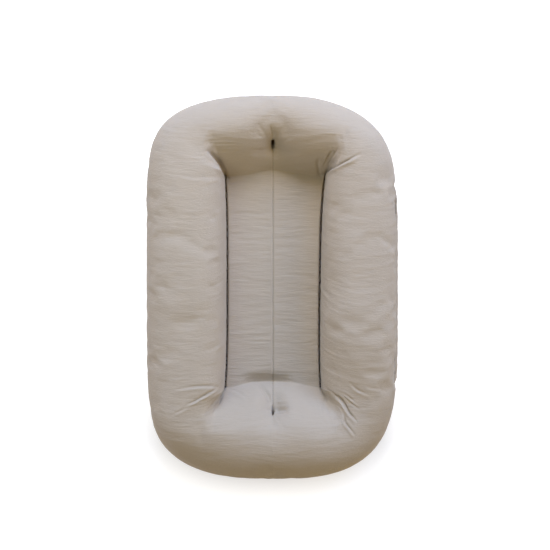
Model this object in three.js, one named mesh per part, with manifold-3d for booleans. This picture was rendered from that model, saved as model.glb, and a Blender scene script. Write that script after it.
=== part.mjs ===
// Infant lounger: a stuffed ring of cloth round an unpadded sling, inside a cover that zips off.
// Millimetres, +Z up, head end towards +Y, right side towards +X, origin on the floor at the middle.

import * as THREE from 'three';
import { mergeVertices } from 'three/addons/utils/BufferGeometryUtils.js';
import Module from 'manifold-3d';

const wasm = await Module();
wasm.setup();

// Overall size
const loungerLength = 660;
const loungerWidth = 430;
const loungerHeight = 125;
const rimHeight = 60;

// Outline of each corner: |x|^across + |y|^along on the half sizes, so a higher power is squarer
const headRightPowers = { across: 2.3, along: 5.3 };
const headLeftPowers = { across: 2.4, along: 7.8 };
const footLeftPowers = { across: 2.6, along: 5.9 };
const footRightPowers = { across: 2.65, along: 5.1 };

// Sling between the two side seams, and how far each end of it lies from the outer edge
const slingWidth = 170;
const slingHeight = 36;
const slingSag = 2;
const headRun = 134;
const footRun = 153;

// Stuffed ring
const crestShare = 0.5;
const headCrownShare = 0.97;
const footCrownShare = 0.99;
const roundness = 2.2;
const seamOverhang = 4;
const floorOuterShare = 0.68;
const floorInnerShare = 0.3;
const fillInset = 8;

// Pinches where the centre seam ends, and the pleats at the ends of the side seams
const headPinchRun = 89;
const headPinchDepth = 29;
const headPinchWidth = 27;
const headPinchReach = 34;
const footPinchRun = 121;
const footPinchDepth = 23;
const footPinchWidth = 20;
const footPinchReach = 22;
const pleatDepth = 7;
const pleatReachShare = 0.75;
const pleatShares = [0, 1, 0.1, 0.9, 0.2, 0];

// Cloths, from the outside in, and the gap between pieces that touch
const coverCloth = 1.0;
const insertCloth = 0.8;
const clearance = 0.3;

// Seam threads and the tacks at the pinches
const threadWidth = 1.1;
const threadHeight = 0.7;
const threadLift = 0.5;
const seamInset = 2.6;
const tackWidth = 2;
const tackLift = 1.1;
const tackReachShare = 0.45;
const seamStartShare = 0.5;

// Zip in the right side of the rim, closed end towards the head
const zipHeadEnd = 160;
const zipFootEnd = -150;
const slotMargin = 5;
const slotHeight = 14;
const tapeThickness = 0.8;
const tapeSink = 0.2;
const chainHeight = 4.2;
const chainThickness = 1.85;
const toothPitch = 4;
const toothRoot = 0.8;
const toothTaperShare = 0.15;
const stopLength = 3;
const endBoxLength = 5;
const endBoxHeight = 8;
const endBoxThickness = 2;

// Slider and pull tab
const sliderLength = 12;
const sliderFront = 10;
const sliderRear = 8;
const sliderPlate = 1.2;
const sliderWingShare = 0.35;
const bailLength = 8;
const bailBar = 0.9;
const bailRoom = 2.2;
const bailWidth = 1.8;
const pullLength = 24;
const pullWidth = 6;
const pullThickness = 1.2;
const pullWindow = 4.4;
const pullWindowWidth = 2.6;
const pullGripLength = 9;
const pullGripWidth = 3;

// Sizes that follow from those above
const halfLength = loungerLength / 2;
const halfWidth = loungerWidth / 2;
const halfSling = slingWidth / 2;
const slingHeadEnd = halfLength - headRun;
const slingFootEnd = footRun - halfLength;
const slingLength = slingHeadEnd - slingFootEnd;
const slingThickness = 2 * (coverCloth + clearance + insertCloth) + clearance;
const insertDepth = coverCloth + clearance;
const fillDepth = insertDepth + insertCloth + clearance;
const chainStandOut = chainThickness - tapeThickness - tapeSink;
const bailStandOut = bailRoom + bailBar;
const zipFace = halfWidth - chainStandOut - clearance - sliderPlate - bailStandOut;
const tapeOuter = zipFace - tapeSink;
const tapeInner = tapeOuter - tapeThickness;
const chainOuter = tapeInner + chainThickness;
const plateInner = chainOuter + clearance;
const plateOuter = plateInner + sliderPlate;
const hingeReach = plateOuter + bailRoom / 2;
const sliderRest = zipHeadEnd - stopLength - clearance - sliderLength / 2;

// Points closer than this are one point
const samePlace = 0.00001;

// Counts of facets
const slingShares = [0, 0.125, 0.25, 0.375, 0.5, 0.625, 0.75, 0.875, 1];
const endShares = [1, 0.66, 0.34, 0.12, 0, -0.12, -0.34, -0.66, -1];
const fanSteps = 5;
const sideTilt = THREE.MathUtils.degToRad(12);
const endTilt = THREE.MathUtils.degToRad(14);
const outerAngles = [0, 28, 58, 90];
const innerAngles = [116, 140, 162, 180];
const baseOuterAngles = [0, 32, 62, 90];
const baseInnerAngles = [0, 50, 90];
const crestRow = outerAngles.length - 1;
const seamRow = outerAngles.length + innerAngles.length;
const baseSeamRow = baseOuterAngles.length + baseInnerAngles.length - 1;

// Outline of the lounger seen from above

function outlinePowers(x, y) {
  if (y >= 0) {
    return x >= 0 ? headRightPowers : headLeftPowers;
  }
  return x >= 0 ? footRightPowers : footLeftPowers;
}

function insideOutline(x, y) {
  const powers = outlinePowers(x, y);
  const across = Math.abs(x / halfWidth) ** powers.across;
  const along = Math.abs(y / halfLength) ** powers.along;
  return x < zipFace && across + along < 1;
}

function distanceToRim(start, direction) {
  let near = 0;
  let far = loungerLength;
  for (let step = 0; step < 50; step += 1) {
    const middle = (near + far) / 2;
    const point = start.clone().addScaledVector(direction, middle);
    if (insideOutline(point.x, point.y)) {
      near = middle;
    } else {
      far = middle;
    }
  }
  return near;
}

// Rays run from the edge of the sling out to the rim, counterclockwise from the foot of the right side.
// The weight is 0 where the ring stands beside the sling and 1 where it slopes down to the sling's end.

function makeRay(x, y, angle, extras) {
  const inner = new THREE.Vector3(x, y, 0);
  const direction = new THREE.Vector3(Math.cos(angle), Math.sin(angle), 0);
  const run = distanceToRim(inner, direction);
  return { inner, direction, run, towardsHead: y > 0, weight: 0, pleatShare: 0, overhang: 0, ...extras };
}

function sideRays(side) {
  return slingShares.map((share) => {
    const y = slingFootEnd + share * slingLength;
    const fromMiddle = 2 * share - 1;
    const tilt = sideTilt * fromMiddle;
    const angle = side > 0 ? tilt : Math.PI - tilt;
    return makeRay(side * halfSling, y, angle, { overhang: seamOverhang * (1 - fromMiddle ** 4) });
  });
}

function endRays(end) {
  return endShares.map((share) => {
    const y = end > 0 ? slingHeadEnd : slingFootEnd;
    const angle = end * (Math.PI / 2 - endTilt * share);
    return makeRay(share * halfSling, y, angle, { weight: 1 });
  });
}

function fanRays(side, end) {
  const from = sideTilt;
  const to = Math.PI / 2 - endTilt;
  const rays = [];
  for (let step = 1; step < fanSteps; step += 1) {
    const share = step / fanSteps;
    const opening = end * THREE.MathUtils.lerp(from, to, share);
    const angle = side > 0 ? opening : Math.PI - opening;
    const weight = THREE.MathUtils.smoothstep(share, 0, 1);
    const y = end > 0 ? slingHeadEnd : slingFootEnd;
    rays.push(makeRay(side * halfSling, y, angle, { weight, pleatShare: pleatShares[step] }));
  }
  return rays;
}

const rays = [
  ...sideRays(1),
  ...fanRays(1, 1),
  ...endRays(1),
  ...fanRays(-1, 1).reverse(),
  ...sideRays(-1).reverse(),
  ...fanRays(-1, -1),
  ...endRays(-1).reverse(),
  ...fanRays(1, -1).reverse(),
];

// Section of the stuffed ring along a ray, as a share of its run and a height

function powerOf(value) {
  return Math.abs(value) ** (2 / roundness);
}

function crownHeight(ray) {
  const endShare = ray.towardsHead ? headCrownShare : footCrownShare;
  return loungerHeight * THREE.MathUtils.lerp(1, endShare, ray.weight);
}

function outerSection(ray, row) {
  const angle = THREE.MathUtils.degToRad(outerAngles[row]);
  return {
    share: crestShare + (1 - crestShare) * powerOf(Math.cos(angle)),
    height: rimHeight + (crownHeight(ray) - rimHeight) * powerOf(Math.sin(angle)),
  };
}

function sideSection(ray, row) {
  if (row === seamRow) {
    return { share: 0, height: slingHeight };
  }
  const angle = THREE.MathUtils.degToRad(innerAngles[row - outerAngles.length]);
  const reach = crestShare + ray.overhang / ray.run;
  return {
    share: crestShare - reach * powerOf(Math.cos(angle)),
    height: rimHeight + (crownHeight(ray) - rimHeight) * powerOf(Math.sin(angle)),
  };
}

function pinchStep(ray) {
  const run = ray.towardsHead ? headRun : footRun;
  const pinch = ray.towardsHead ? headPinchRun : footPinchRun;
  return (pinch / run - (1 - crestShare)) / crestShare;
}

function endSection(ray, row) {
  const pinch = pinchStep(ray);
  const past = row - crestRow;
  const step = past < 2 ? pinch / 2 : pinch + (1 - pinch) * (past - 2) / (seamRow - crestRow - 2);
  return {
    share: crestShare * (1 - step),
    height: slingHeight + (crownHeight(ray) - slingHeight) * (1 - step * step),
  };
}

function topSection(ray, row) {
  if (row <= crestRow) {
    return outerSection(ray, row);
  }
  const beside = sideSection(ray, row);
  const beyond = endSection(ray, row);
  return {
    share: THREE.MathUtils.lerp(beside.share, beyond.share, ray.weight),
    height: THREE.MathUtils.lerp(beside.height, beyond.height, ray.weight),
  };
}

function baseSection(row) {
  const lastOuter = baseOuterAngles.length - 1;
  if (row <= lastOuter) {
    const angle = THREE.MathUtils.degToRad(baseOuterAngles[row]);
    return {
      share: floorOuterShare + (1 - floorOuterShare) * powerOf(Math.cos(angle)),
      height: rimHeight * (1 - powerOf(Math.sin(angle))),
    };
  }
  const angle = THREE.MathUtils.degToRad(baseInnerAngles[row - lastOuter - 1]);
  return {
    share: floorInnerShare * (1 - Math.sin(angle)),
    height: (slingHeight - slingThickness) * (1 - Math.cos(angle)),
  };
}

function pinchDip(point) {
  const towardsHead = point.y > 0;
  const pinchY = towardsHead ? halfLength - headPinchRun : halfLength - footPinchRun;
  const slingEnd = towardsHead ? slingHeadEnd : -slingFootEnd;
  const depth = towardsHead ? headPinchDepth : footPinchDepth;
  const width = towardsHead ? headPinchWidth : footPinchWidth;
  const reach = towardsHead ? headPinchReach : footPinchReach;
  const outwards = Math.abs(point.y) - pinchY;
  const across = Math.exp(-((point.x / width) ** 2));
  const along = outwards > 0
    ? Math.exp(-((outwards / reach) ** 2))
    : Math.max(0, 1 + outwards / (pinchY - slingEnd));
  return depth * across * along;
}

function pleatDip(ray, share) {
  if (share <= 0 || share >= pleatReachShare) {
    return 0;
  }
  return pleatDepth * ray.pleatShare * Math.sin(Math.PI * share / pleatReachShare);
}

function topPoint(ray, row) {
  const section = topSection(ray, row);
  const point = ray.inner.clone().addScaledVector(ray.direction, ray.run * section.share);
  const dip = row > 0 && row < seamRow ? pinchDip(point) * ray.weight + pleatDip(ray, section.share) : 0;
  point.z = section.height - dip;
  return point;
}

function basePoint(ray, row) {
  const section = baseSection(row);
  const point = ray.inner.clone().addScaledVector(ray.direction, ray.run * section.share);
  point.z = section.height;
  return point;
}

function slingPoint(xShare, yShare, height) {
  const sag = slingSag * (1 - xShare ** 2) * (1 - (2 * yShare - 1) ** 2);
  return new THREE.Vector3(xShare * halfSling, slingFootEnd + yShare * slingLength, height - sag);
}

// A net is one side of the lounger: its points, the ring's rows from rim to seam, and the sling's grid

function makeNet(pointAt, lastRow, height) {
  const points = [];
  const known = new Map();
  const remember = (point) => {
    const key = point.toArray().map((value) => Math.round(value / samePlace)).join();
    if (!known.has(key)) {
      known.set(key, points.length);
      points.push(point);
    }
    return known.get(key);
  };
  const ring = rays.map((ray) => {
    const rows = [];
    for (let row = 0; row <= lastRow; row += 1) {
      rows.push(remember(pointAt(ray, row)));
    }
    return rows;
  });
  const sling = slingShares.map((yShare) => (
    endShares.map((xShare) => remember(slingPoint(-xShare, yShare, height)))
  ));
  const net = { points, ring, sling, lastRow };
  net.normals = netNormals(net);
  return net;
}

function quad(a, b, c, d) {
  return [[a, b, c], [a, c, d]].filter(([p, q, r]) => p !== q && q !== r && r !== p);
}

function ringFaces(net, lastRow) {
  const faces = [];
  net.ring.forEach((rows, index) => {
    const next = net.ring[(index + 1) % net.ring.length];
    for (let row = 0; row < lastRow; row += 1) {
      faces.push(...quad(rows[row], next[row], next[row + 1], rows[row + 1]));
    }
  });
  return faces;
}

function slingFaces(net) {
  const faces = [];
  for (let row = 0; row < slingShares.length - 1; row += 1) {
    for (let column = 0; column < endShares.length - 1; column += 1) {
      const near = net.sling[row];
      const far = net.sling[row + 1];
      faces.push(...quad(near[column], near[column + 1], far[column + 1], far[column]));
    }
  }
  return faces;
}

function cornerAngle(point, left, right) {
  return left.clone().sub(point).angleTo(right.clone().sub(point));
}

function netNormals(net) {
  const normals = net.points.map(() => new THREE.Vector3());
  for (const face of [...ringFaces(net, net.lastRow), ...slingFaces(net)]) {
    const [a, b, c] = face.map((index) => net.points[index]);
    const normal = b.clone().sub(a).cross(c.clone().sub(a)).normalize();
    normals[face[0]].addScaledVector(normal, cornerAngle(a, b, c));
    normals[face[1]].addScaledVector(normal, cornerAngle(b, c, a));
    normals[face[2]].addScaledVector(normal, cornerAngle(c, a, b));
  }
  net.ring.forEach((rows, index) => {
    const before = net.points[net.ring.at(index - 1)[0]];
    const after = net.points[net.ring[(index + 1) % net.ring.length][0]];
    const along = after.clone().sub(before);
    normals[rows[0]].set(along.y, -along.x, 0);
  });
  return normals.map((normal) => normal.normalize());
}

// Solids made from a net

function sunkPoints(net, depth, rimShift) {
  const rim = new Set(net.ring.map((rows) => rows[0]));
  const side = net.lastRow === seamRow ? 1 : -1;
  return net.points.map((point, index) => {
    const sunk = point.clone().addScaledVector(net.normals[index], -side * (rim.has(index) ? side : 1) * depth);
    sunk.z += rim.has(index) ? side * rimShift : 0;
    return sunk;
  });
}

function geometryOf(points, faces) {
  const geometry = new THREE.BufferGeometry();
  const positions = new Float32Array(points.flatMap((point) => point.toArray()));
  geometry.setAttribute('position', new THREE.BufferAttribute(positions, 3));
  geometry.setIndex(faces.flat());
  return geometry;
}

function turned(faces) {
  return faces.map(([a, b, c]) => [a, c, b]);
}

function clothGeometry(net, depth, thickness) {
  const count = net.points.length;
  const points = [
    ...sunkPoints(net, depth, clearance / 2),
    ...sunkPoints(net, depth + thickness, clearance / 2),
  ];
  const outside = [...ringFaces(net, net.lastRow), ...slingFaces(net)];
  const inside = turned(outside).map((face) => face.map((index) => index + count));
  const edge = net.ring.flatMap((rows, index) => {
    const here = rows[0];
    const next = net.ring[(index + 1) % net.ring.length][0];
    return quad(next, here, here + count, next + count);
  });
  const faces = [...outside, ...inside, ...edge];
  return geometryOf(points, net.lastRow === seamRow ? faces : turned(faces));
}

function fillGeometry(topNet, baseNet) {
  const count = topNet.points.length;
  const waist = rays.map((ray) => {
    const point = ray.inner.clone().addScaledVector(ray.direction, fillInset);
    point.z = slingHeight - slingThickness / 2;
    return point;
  });
  const points = [...sunkPoints(topNet, fillDepth, 0), ...sunkPoints(baseNet, fillDepth, 0), ...waist];
  const topInner = seamRow - 1;
  const baseInner = baseSeamRow - 1;
  const firstWaist = points.length - waist.length;
  const lower = turned(ringFaces(baseNet, baseInner)).map((face) => face.map((index) => index + count));
  const inner = topNet.ring.flatMap((rows, index) => {
    const next = (index + 1) % topNet.ring.length;
    const here = firstWaist + index;
    const beside = firstWaist + next;
    const topEdge = quad(rows[topInner], topNet.ring[next][topInner], beside, here);
    const base = baseNet.ring.map((baseRows) => baseRows[baseInner] + count);
    return [...topEdge, ...quad(here, beside, base[next], base[index])];
  });
  return compact(geometryOf(points, [...ringFaces(topNet, topInner), ...lower, ...inner]));
}

function compact(geometry) {
  const used = geometry.index ? geometry.toNonIndexed() : geometry;
  used.deleteAttribute('normal');
  used.deleteAttribute('uv');
  return mergeVertices(used);
}

// A flat thread laid along stations on the cloth, each a point and the way up there

function threadGeometry(stations, width, lift) {
  const points = stations.flatMap(({ point, up }) => {
    const lower = point.clone().addScaledVector(up, lift);
    const upper = lower.clone().addScaledVector(up, threadHeight);
    const half = new THREE.Vector3(width / 2, 0, 0);
    return [lower.clone().sub(half), lower.clone().add(half), upper.clone().add(half), upper.clone().sub(half)];
  });
  const faces = [...quad(0, 1, 2, 3)];
  for (let station = 0; station < stations.length - 1; station += 1) {
    const from = station * 4;
    for (let corner = 0; corner < 4; corner += 1) {
      const other = (corner + 1) % 4;
      faces.push(...quad(from + other, from + corner, from + corner + 4, from + other + 4));
    }
  }
  const last = (stations.length - 1) * 4;
  faces.push(...quad(last + 3, last + 2, last + 1, last));
  return geometryOf(points, faces);
}

function stationAt(net, index) {
  return { point: net.points[index], up: net.normals[index] };
}

function between(from, to, share) {
  return {
    point: from.point.clone().lerp(to.point, share),
    up: from.up.clone().lerp(to.up, share).normalize(),
  };
}

// Booleans on closed meshes

function toSolid(geometry) {
  const merged = compact(geometry);
  return new wasm.Manifold(new wasm.Mesh({
    numProp: 3,
    vertProperties: new Float32Array(merged.attributes.position.array),
    triVerts: new Uint32Array(merged.index.array),
  }));
}

function fromSolid(solid) {
  const mesh = solid.getMesh();
  const geometry = new THREE.BufferGeometry();
  geometry.setAttribute('position', new THREE.BufferAttribute(new Float32Array(mesh.vertProperties), 3));
  geometry.setIndex(Array.from(mesh.triVerts));
  return geometry;
}

function boxBetween(low, high) {
  const size = high.clone().sub(low);
  const geometry = new THREE.BoxGeometry(size.x, size.y, size.z);
  const middle = low.clone().add(high).multiplyScalar(0.5);
  return geometry.translate(middle.x, middle.y, middle.z);
}

// An outline drawn along the zip and up it, extruded outwards from the given reach

function outwardExtrusion(shape, reach, depth) {
  const geometry = new THREE.ExtrudeGeometry(shape, { depth, bevelEnabled: false, curveSegments: 6 });
  const basis = new THREE.Matrix4().makeBasis(
    new THREE.Vector3(0, 1, 0),
    new THREE.Vector3(0, 0, 1),
    new THREE.Vector3(1, 0, 0),
  );
  return geometry.applyMatrix4(basis).translate(reach, 0, rimHeight);
}

// Zip

function slotSolid() {
  return toSolid(boxBetween(
    new THREE.Vector3(tapeInner - slotMargin, zipFootEnd - slotMargin, rimHeight - slotHeight / 2),
    new THREE.Vector3(halfWidth + slotMargin, zipHeadEnd + slotMargin, rimHeight + slotHeight / 2),
  ));
}

function tapeGeometry(side) {
  const inner = rimHeight + side * (chainHeight / 2 + clearance);
  const outer = rimHeight + side * (slotHeight / 2 - clearance);
  return boxBetween(
    new THREE.Vector3(tapeInner, zipFootEnd - slotMargin + clearance, Math.min(inner, outer)),
    new THREE.Vector3(tapeOuter, zipHeadEnd + slotMargin - clearance, Math.max(inner, outer)),
  );
}

function teethGeometry(side) {
  const start = zipFootEnd + endBoxLength + clearance;
  const end = zipHeadEnd - stopLength - clearance;
  const count = Math.floor((end - start - toothPitch / 2) / toothPitch);
  const back = side * chainHeight / 2;
  const root = side * (chainHeight / 2 - toothRoot);
  const tip = -side * (chainHeight / 2 - toothRoot - clearance);
  const toothWidth = toothPitch / 2 - clearance;
  const shape = new THREE.Shape();
  shape.moveTo(start, back);
  shape.lineTo(start, root);
  for (let tooth = 0; tooth < count; tooth += 1) {
    const left = start + tooth * toothPitch + (side > 0 ? clearance : clearance + toothPitch / 2);
    shape.lineTo(left, root);
    shape.lineTo(left + toothWidth * toothTaperShare, tip);
    shape.lineTo(left + toothWidth * (1 - toothTaperShare), tip);
    shape.lineTo(left + toothWidth, root);
  }
  shape.lineTo(end, root);
  shape.lineTo(end, back);
  return outwardExtrusion(shape, tapeInner, chainThickness);
}

function stopGeometry(side) {
  const near = side > 0 ? clearance / 2 : -chainHeight / 2;
  const far = side > 0 ? chainHeight / 2 : -clearance / 2;
  return boxBetween(
    new THREE.Vector3(tapeInner, zipHeadEnd - stopLength, rimHeight + near),
    new THREE.Vector3(chainOuter + clearance, zipHeadEnd, rimHeight + far),
  );
}

function endBoxGeometry() {
  return boxBetween(
    new THREE.Vector3(tapeOuter + clearance, zipFootEnd, rimHeight - endBoxHeight / 2),
    new THREE.Vector3(tapeOuter + clearance + endBoxThickness, zipFootEnd + endBoxLength,
      rimHeight + endBoxHeight / 2),
  );
}

function sliderOutline() {
  const half = sliderLength / 2;
  const front = sliderFront / 2;
  const rear = sliderRear / 2;
  const wing = sliderLength * sliderWingShare;
  const shape = new THREE.Shape();
  shape.moveTo(-half, -rear + wing / 2);
  shape.quadraticCurveTo(-half, -rear, -half + wing / 2, -rear);
  shape.lineTo(half - wing, -front);
  shape.quadraticCurveTo(half, -front, half, -front + wing / 2);
  shape.lineTo(half, front - wing / 2);
  shape.quadraticCurveTo(half, front, half - wing, front);
  shape.lineTo(-half + wing / 2, rear);
  shape.quadraticCurveTo(-half, rear, -half, rear - wing / 2);
  return shape;
}

function bailGeometry() {
  const half = bailLength / 2;
  const shoulder = half - bailBar;
  const shape = new THREE.Shape();
  shape.moveTo(-half, -sliderPlate / 2);
  shape.lineTo(-half, bailRoom / 2);
  shape.quadraticCurveTo(-half, bailStandOut, -shoulder, bailStandOut);
  shape.lineTo(shoulder, bailStandOut);
  shape.quadraticCurveTo(half, bailStandOut, half, bailRoom / 2);
  shape.lineTo(half, -sliderPlate / 2);
  shape.lineTo(shoulder, -sliderPlate / 2);
  shape.lineTo(shoulder, bailRoom);
  shape.lineTo(-shoulder, bailRoom);
  shape.lineTo(-shoulder, -sliderPlate / 2);
  const geometry = new THREE.ExtrudeGeometry(shape, { depth: bailWidth, bevelEnabled: false, curveSegments: 4 });
  const basis = new THREE.Matrix4().makeBasis(
    new THREE.Vector3(0, -1, 0),
    new THREE.Vector3(1, 0, 0),
    new THREE.Vector3(0, 0, 1),
  );
  return geometry.applyMatrix4(basis).translate(plateOuter, 0, rimHeight - bailWidth / 2);
}

function sliderGeometry() {
  const flangeReach = tapeOuter + clearance;
  const body = toSolid(outwardExtrusion(sliderOutline(), flangeReach, plateOuter - flangeReach));
  const channel = toSolid(boxBetween(
    new THREE.Vector3(tapeInner, -sliderLength, rimHeight - chainHeight / 2 - clearance),
    new THREE.Vector3(plateInner, sliderLength, rimHeight + chainHeight / 2 + clearance),
  ));
  return fromSolid(body.subtract(channel).add(toSolid(bailGeometry()))).translate(0, sliderRest, 0);
}

function pullGeometry() {
  const half = pullWidth / 2;
  const bar = pullThickness / 2;
  const eye = pullWindowWidth / 2 + pullThickness;
  const neck = bar + pullWindow + pullThickness;
  const shape = new THREE.Shape();
  shape.moveTo(bar, -eye);
  shape.lineTo(bar, eye);
  shape.lineTo(-neck, eye);
  shape.quadraticCurveTo(-neck - half, half, -neck - pullWidth, half);
  shape.absarc(-pullLength + half, 0, half, Math.PI / 2, 1.5 * Math.PI, false);
  shape.lineTo(-neck - pullWidth, -half);
  shape.quadraticCurveTo(-neck - half, -half, -neck, -eye);
  shape.holes.push(windowPath(-bar - pullWindow, -bar, pullWindowWidth / 2));
  shape.holes.push(windowPath(-pullLength + half, -pullLength + half + pullGripLength, pullGripWidth / 2));
  const geometry = outwardExtrusion(shape, hingeReach - pullThickness / 2, pullThickness);
  return compact(geometry.translate(0, sliderRest, 0));
}

function windowPath(from, to, half) {
  const path = new THREE.Path();
  path.moveTo(from, -half);
  path.lineTo(to, -half);
  path.lineTo(to, half);
  path.lineTo(from, half);
  path.closePath();
  return path;
}

// Seams

function sideSeamGeometry(net, side) {
  const column = side > 0 ? endShares.length - 1 : 0;
  const stations = net.sling.map((row) => {
    const edge = net.points[row[column]];
    const next = net.points[row[column - side]];
    const point = edge.clone().lerp(next, seamInset / edge.distanceTo(next));
    return { point, up: new THREE.Vector3(0, 0, 1) };
  });
  return threadGeometry(stations, threadWidth, threadLift);
}

const headRay = rays.findIndex((ray) => ray.weight === 1 && ray.towardsHead && ray.inner.x === 0);
const footRay = rays.findIndex((ray) => ray.weight === 1 && !ray.towardsHead && ray.inner.x === 0);
const pinchRow = crestRow + 2;

function centreSeamGeometry(net) {
  const middle = endShares.indexOf(0);
  const foot = [seamStart(net, footRay)];
  const head = [seamStart(net, headRay)];
  for (let row = pinchRow + 1; row < seamRow; row += 1) {
    foot.push(stationAt(net, net.ring[footRay][row]));
    head.unshift(stationAt(net, net.ring[headRay][row]));
  }
  const sling = net.sling.map((row) => stationAt(net, row[middle]));
  return threadGeometry([...foot, ...sling, ...head], threadWidth, threadLift);
}

function seamStart(net, ray) {
  const rows = net.ring[ray];
  return between(stationAt(net, rows[pinchRow]), stationAt(net, rows[pinchRow + 1]), seamStartShare);
}

function tackGeometry(net, ray) {
  const rows = net.ring[ray];
  const outer = stationAt(net, rows[pinchRow - 1]);
  const pinch = stationAt(net, rows[pinchRow]);
  const inner = stationAt(net, rows[pinchRow + 1]);
  const stations = [between(pinch, outer, tackReachShare), pinch, between(pinch, inner, tackReachShare)];
  const ordered = ray === footRay ? stations : stations.reverse();
  return threadGeometry(ordered, tackWidth, tackLift);
}

// Assembly

const clothColour = new THREE.Color().setRGB(0.72, 0.67, 0.61, THREE.SRGBColorSpace);
const linerColour = new THREE.Color().setRGB(0.93, 0.91, 0.87, THREE.SRGBColorSpace);
const fibreColour = new THREE.Color().setRGB(0.95, 0.95, 0.94, THREE.SRGBColorSpace);
const threadColour = new THREE.Color().setRGB(0.62, 0.57, 0.51, THREE.SRGBColorSpace);
const tapeColour = new THREE.Color().setRGB(0.66, 0.61, 0.55, THREE.SRGBColorSpace);
const metalColour = new THREE.Color().setRGB(0.6, 0.55, 0.49, THREE.SRGBColorSpace);

const coverMaterial = { color: clothColour, roughness: 0.95, metalness: 0 };
const linerMaterial = { color: linerColour, roughness: 0.95, metalness: 0 };
const fibreMaterial = { color: fibreColour, roughness: 1, metalness: 0 };
const threadMaterial = { color: threadColour, roughness: 0.8, metalness: 0 };
const tapeMaterial = { color: tapeColour, roughness: 0.85, metalness: 0 };
const teethMaterial = { color: tapeColour, roughness: 0.5, metalness: 0 };
const metalMaterial = { color: metalColour, roughness: 0.4, metalness: 0.3 };

const lounger = new THREE.Group();

function addPiece(parent, name, geometry, look) {
  const mesh = new THREE.Mesh(geometry, new THREE.MeshStandardMaterial(look));
  mesh.name = name;
  parent.add(mesh);
}

const topNet = makeNet(topPoint, seamRow, slingHeight);
const baseNet = makeNet(basePoint, baseSeamRow, slingHeight - slingThickness);
const slot = slotSolid();

addPiece(lounger, 'fibre_fill', fillGeometry(topNet, baseNet), fibreMaterial);
addPiece(lounger, 'insert_top', clothGeometry(topNet, insertDepth, insertCloth), linerMaterial);
addPiece(lounger, 'insert_base', clothGeometry(baseNet, insertDepth, insertCloth), linerMaterial);
addPiece(
  lounger,
  'cover_top',
  fromSolid(toSolid(clothGeometry(topNet, 0, coverCloth)).subtract(slot)),
  coverMaterial,
);
addPiece(
  lounger,
  'cover_base',
  fromSolid(toSolid(clothGeometry(baseNet, 0, coverCloth)).subtract(slot)),
  coverMaterial,
);
addPiece(lounger, 'side_seam_left', sideSeamGeometry(topNet, -1), threadMaterial);
addPiece(lounger, 'side_seam_right', sideSeamGeometry(topNet, 1), threadMaterial);
addPiece(lounger, 'centre_seam', centreSeamGeometry(topNet), threadMaterial);
addPiece(lounger, 'head_tack', tackGeometry(topNet, headRay), threadMaterial);
addPiece(lounger, 'foot_tack', tackGeometry(topNet, footRay), threadMaterial);

const zip = new THREE.Group();
lounger.add(zip);
addPiece(zip, 'zip_tape_upper', tapeGeometry(1), tapeMaterial);
addPiece(zip, 'zip_tape_lower', tapeGeometry(-1), tapeMaterial);
addPiece(zip, 'zip_teeth_upper', teethGeometry(1), teethMaterial);
addPiece(zip, 'zip_teeth_lower', teethGeometry(-1), teethMaterial);
addPiece(zip, 'zip_stop_upper', stopGeometry(1), metalMaterial);
addPiece(zip, 'zip_stop_lower', stopGeometry(-1), metalMaterial);
addPiece(zip, 'zip_end_box', endBoxGeometry(), metalMaterial);
addPiece(zip, 'zip_slider', sliderGeometry(), metalMaterial);
addPiece(zip, 'zip_pull', pullGeometry(), metalMaterial);

export default lounger;
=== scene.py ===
"""Infant lounger: crinkled cotton cover over a stuffed ring, a sling, and a zip in the right side."""

import math
from dataclasses import dataclass

import bpy
import numpy as np
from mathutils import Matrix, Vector
from mathutils.bvhtree import BVHTree
from mathutils.kdtree import KDTree


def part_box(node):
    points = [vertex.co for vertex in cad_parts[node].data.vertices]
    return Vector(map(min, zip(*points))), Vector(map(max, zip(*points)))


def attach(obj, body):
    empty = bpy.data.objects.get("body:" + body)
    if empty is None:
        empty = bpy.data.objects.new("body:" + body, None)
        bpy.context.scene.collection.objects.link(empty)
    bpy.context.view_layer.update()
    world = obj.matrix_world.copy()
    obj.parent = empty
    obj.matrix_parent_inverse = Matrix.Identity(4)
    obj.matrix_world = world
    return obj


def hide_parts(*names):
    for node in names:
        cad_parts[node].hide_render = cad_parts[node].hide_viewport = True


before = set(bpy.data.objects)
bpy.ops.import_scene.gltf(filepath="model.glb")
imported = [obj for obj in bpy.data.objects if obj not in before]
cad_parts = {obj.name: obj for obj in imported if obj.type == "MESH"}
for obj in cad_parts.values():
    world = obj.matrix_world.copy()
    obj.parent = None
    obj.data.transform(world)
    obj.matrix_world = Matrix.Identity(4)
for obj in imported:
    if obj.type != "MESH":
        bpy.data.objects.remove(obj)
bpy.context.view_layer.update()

# Sizes taken from the frame, in metres
cover_low, cover_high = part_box("cover_top")
seam_low, seam_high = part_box("side_seam_left")
tape_low, tape_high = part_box("zip_tape_upper")
half_length = cover_high.y
half_width = -cover_low.x
crest_height = cover_high.z
zip_face = cover_high.x
sling_foot = seam_low.y
sling_head = seam_high.y
sling_length = sling_head - sling_foot
sling_ends = (sling_head, -sling_foot)

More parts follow.
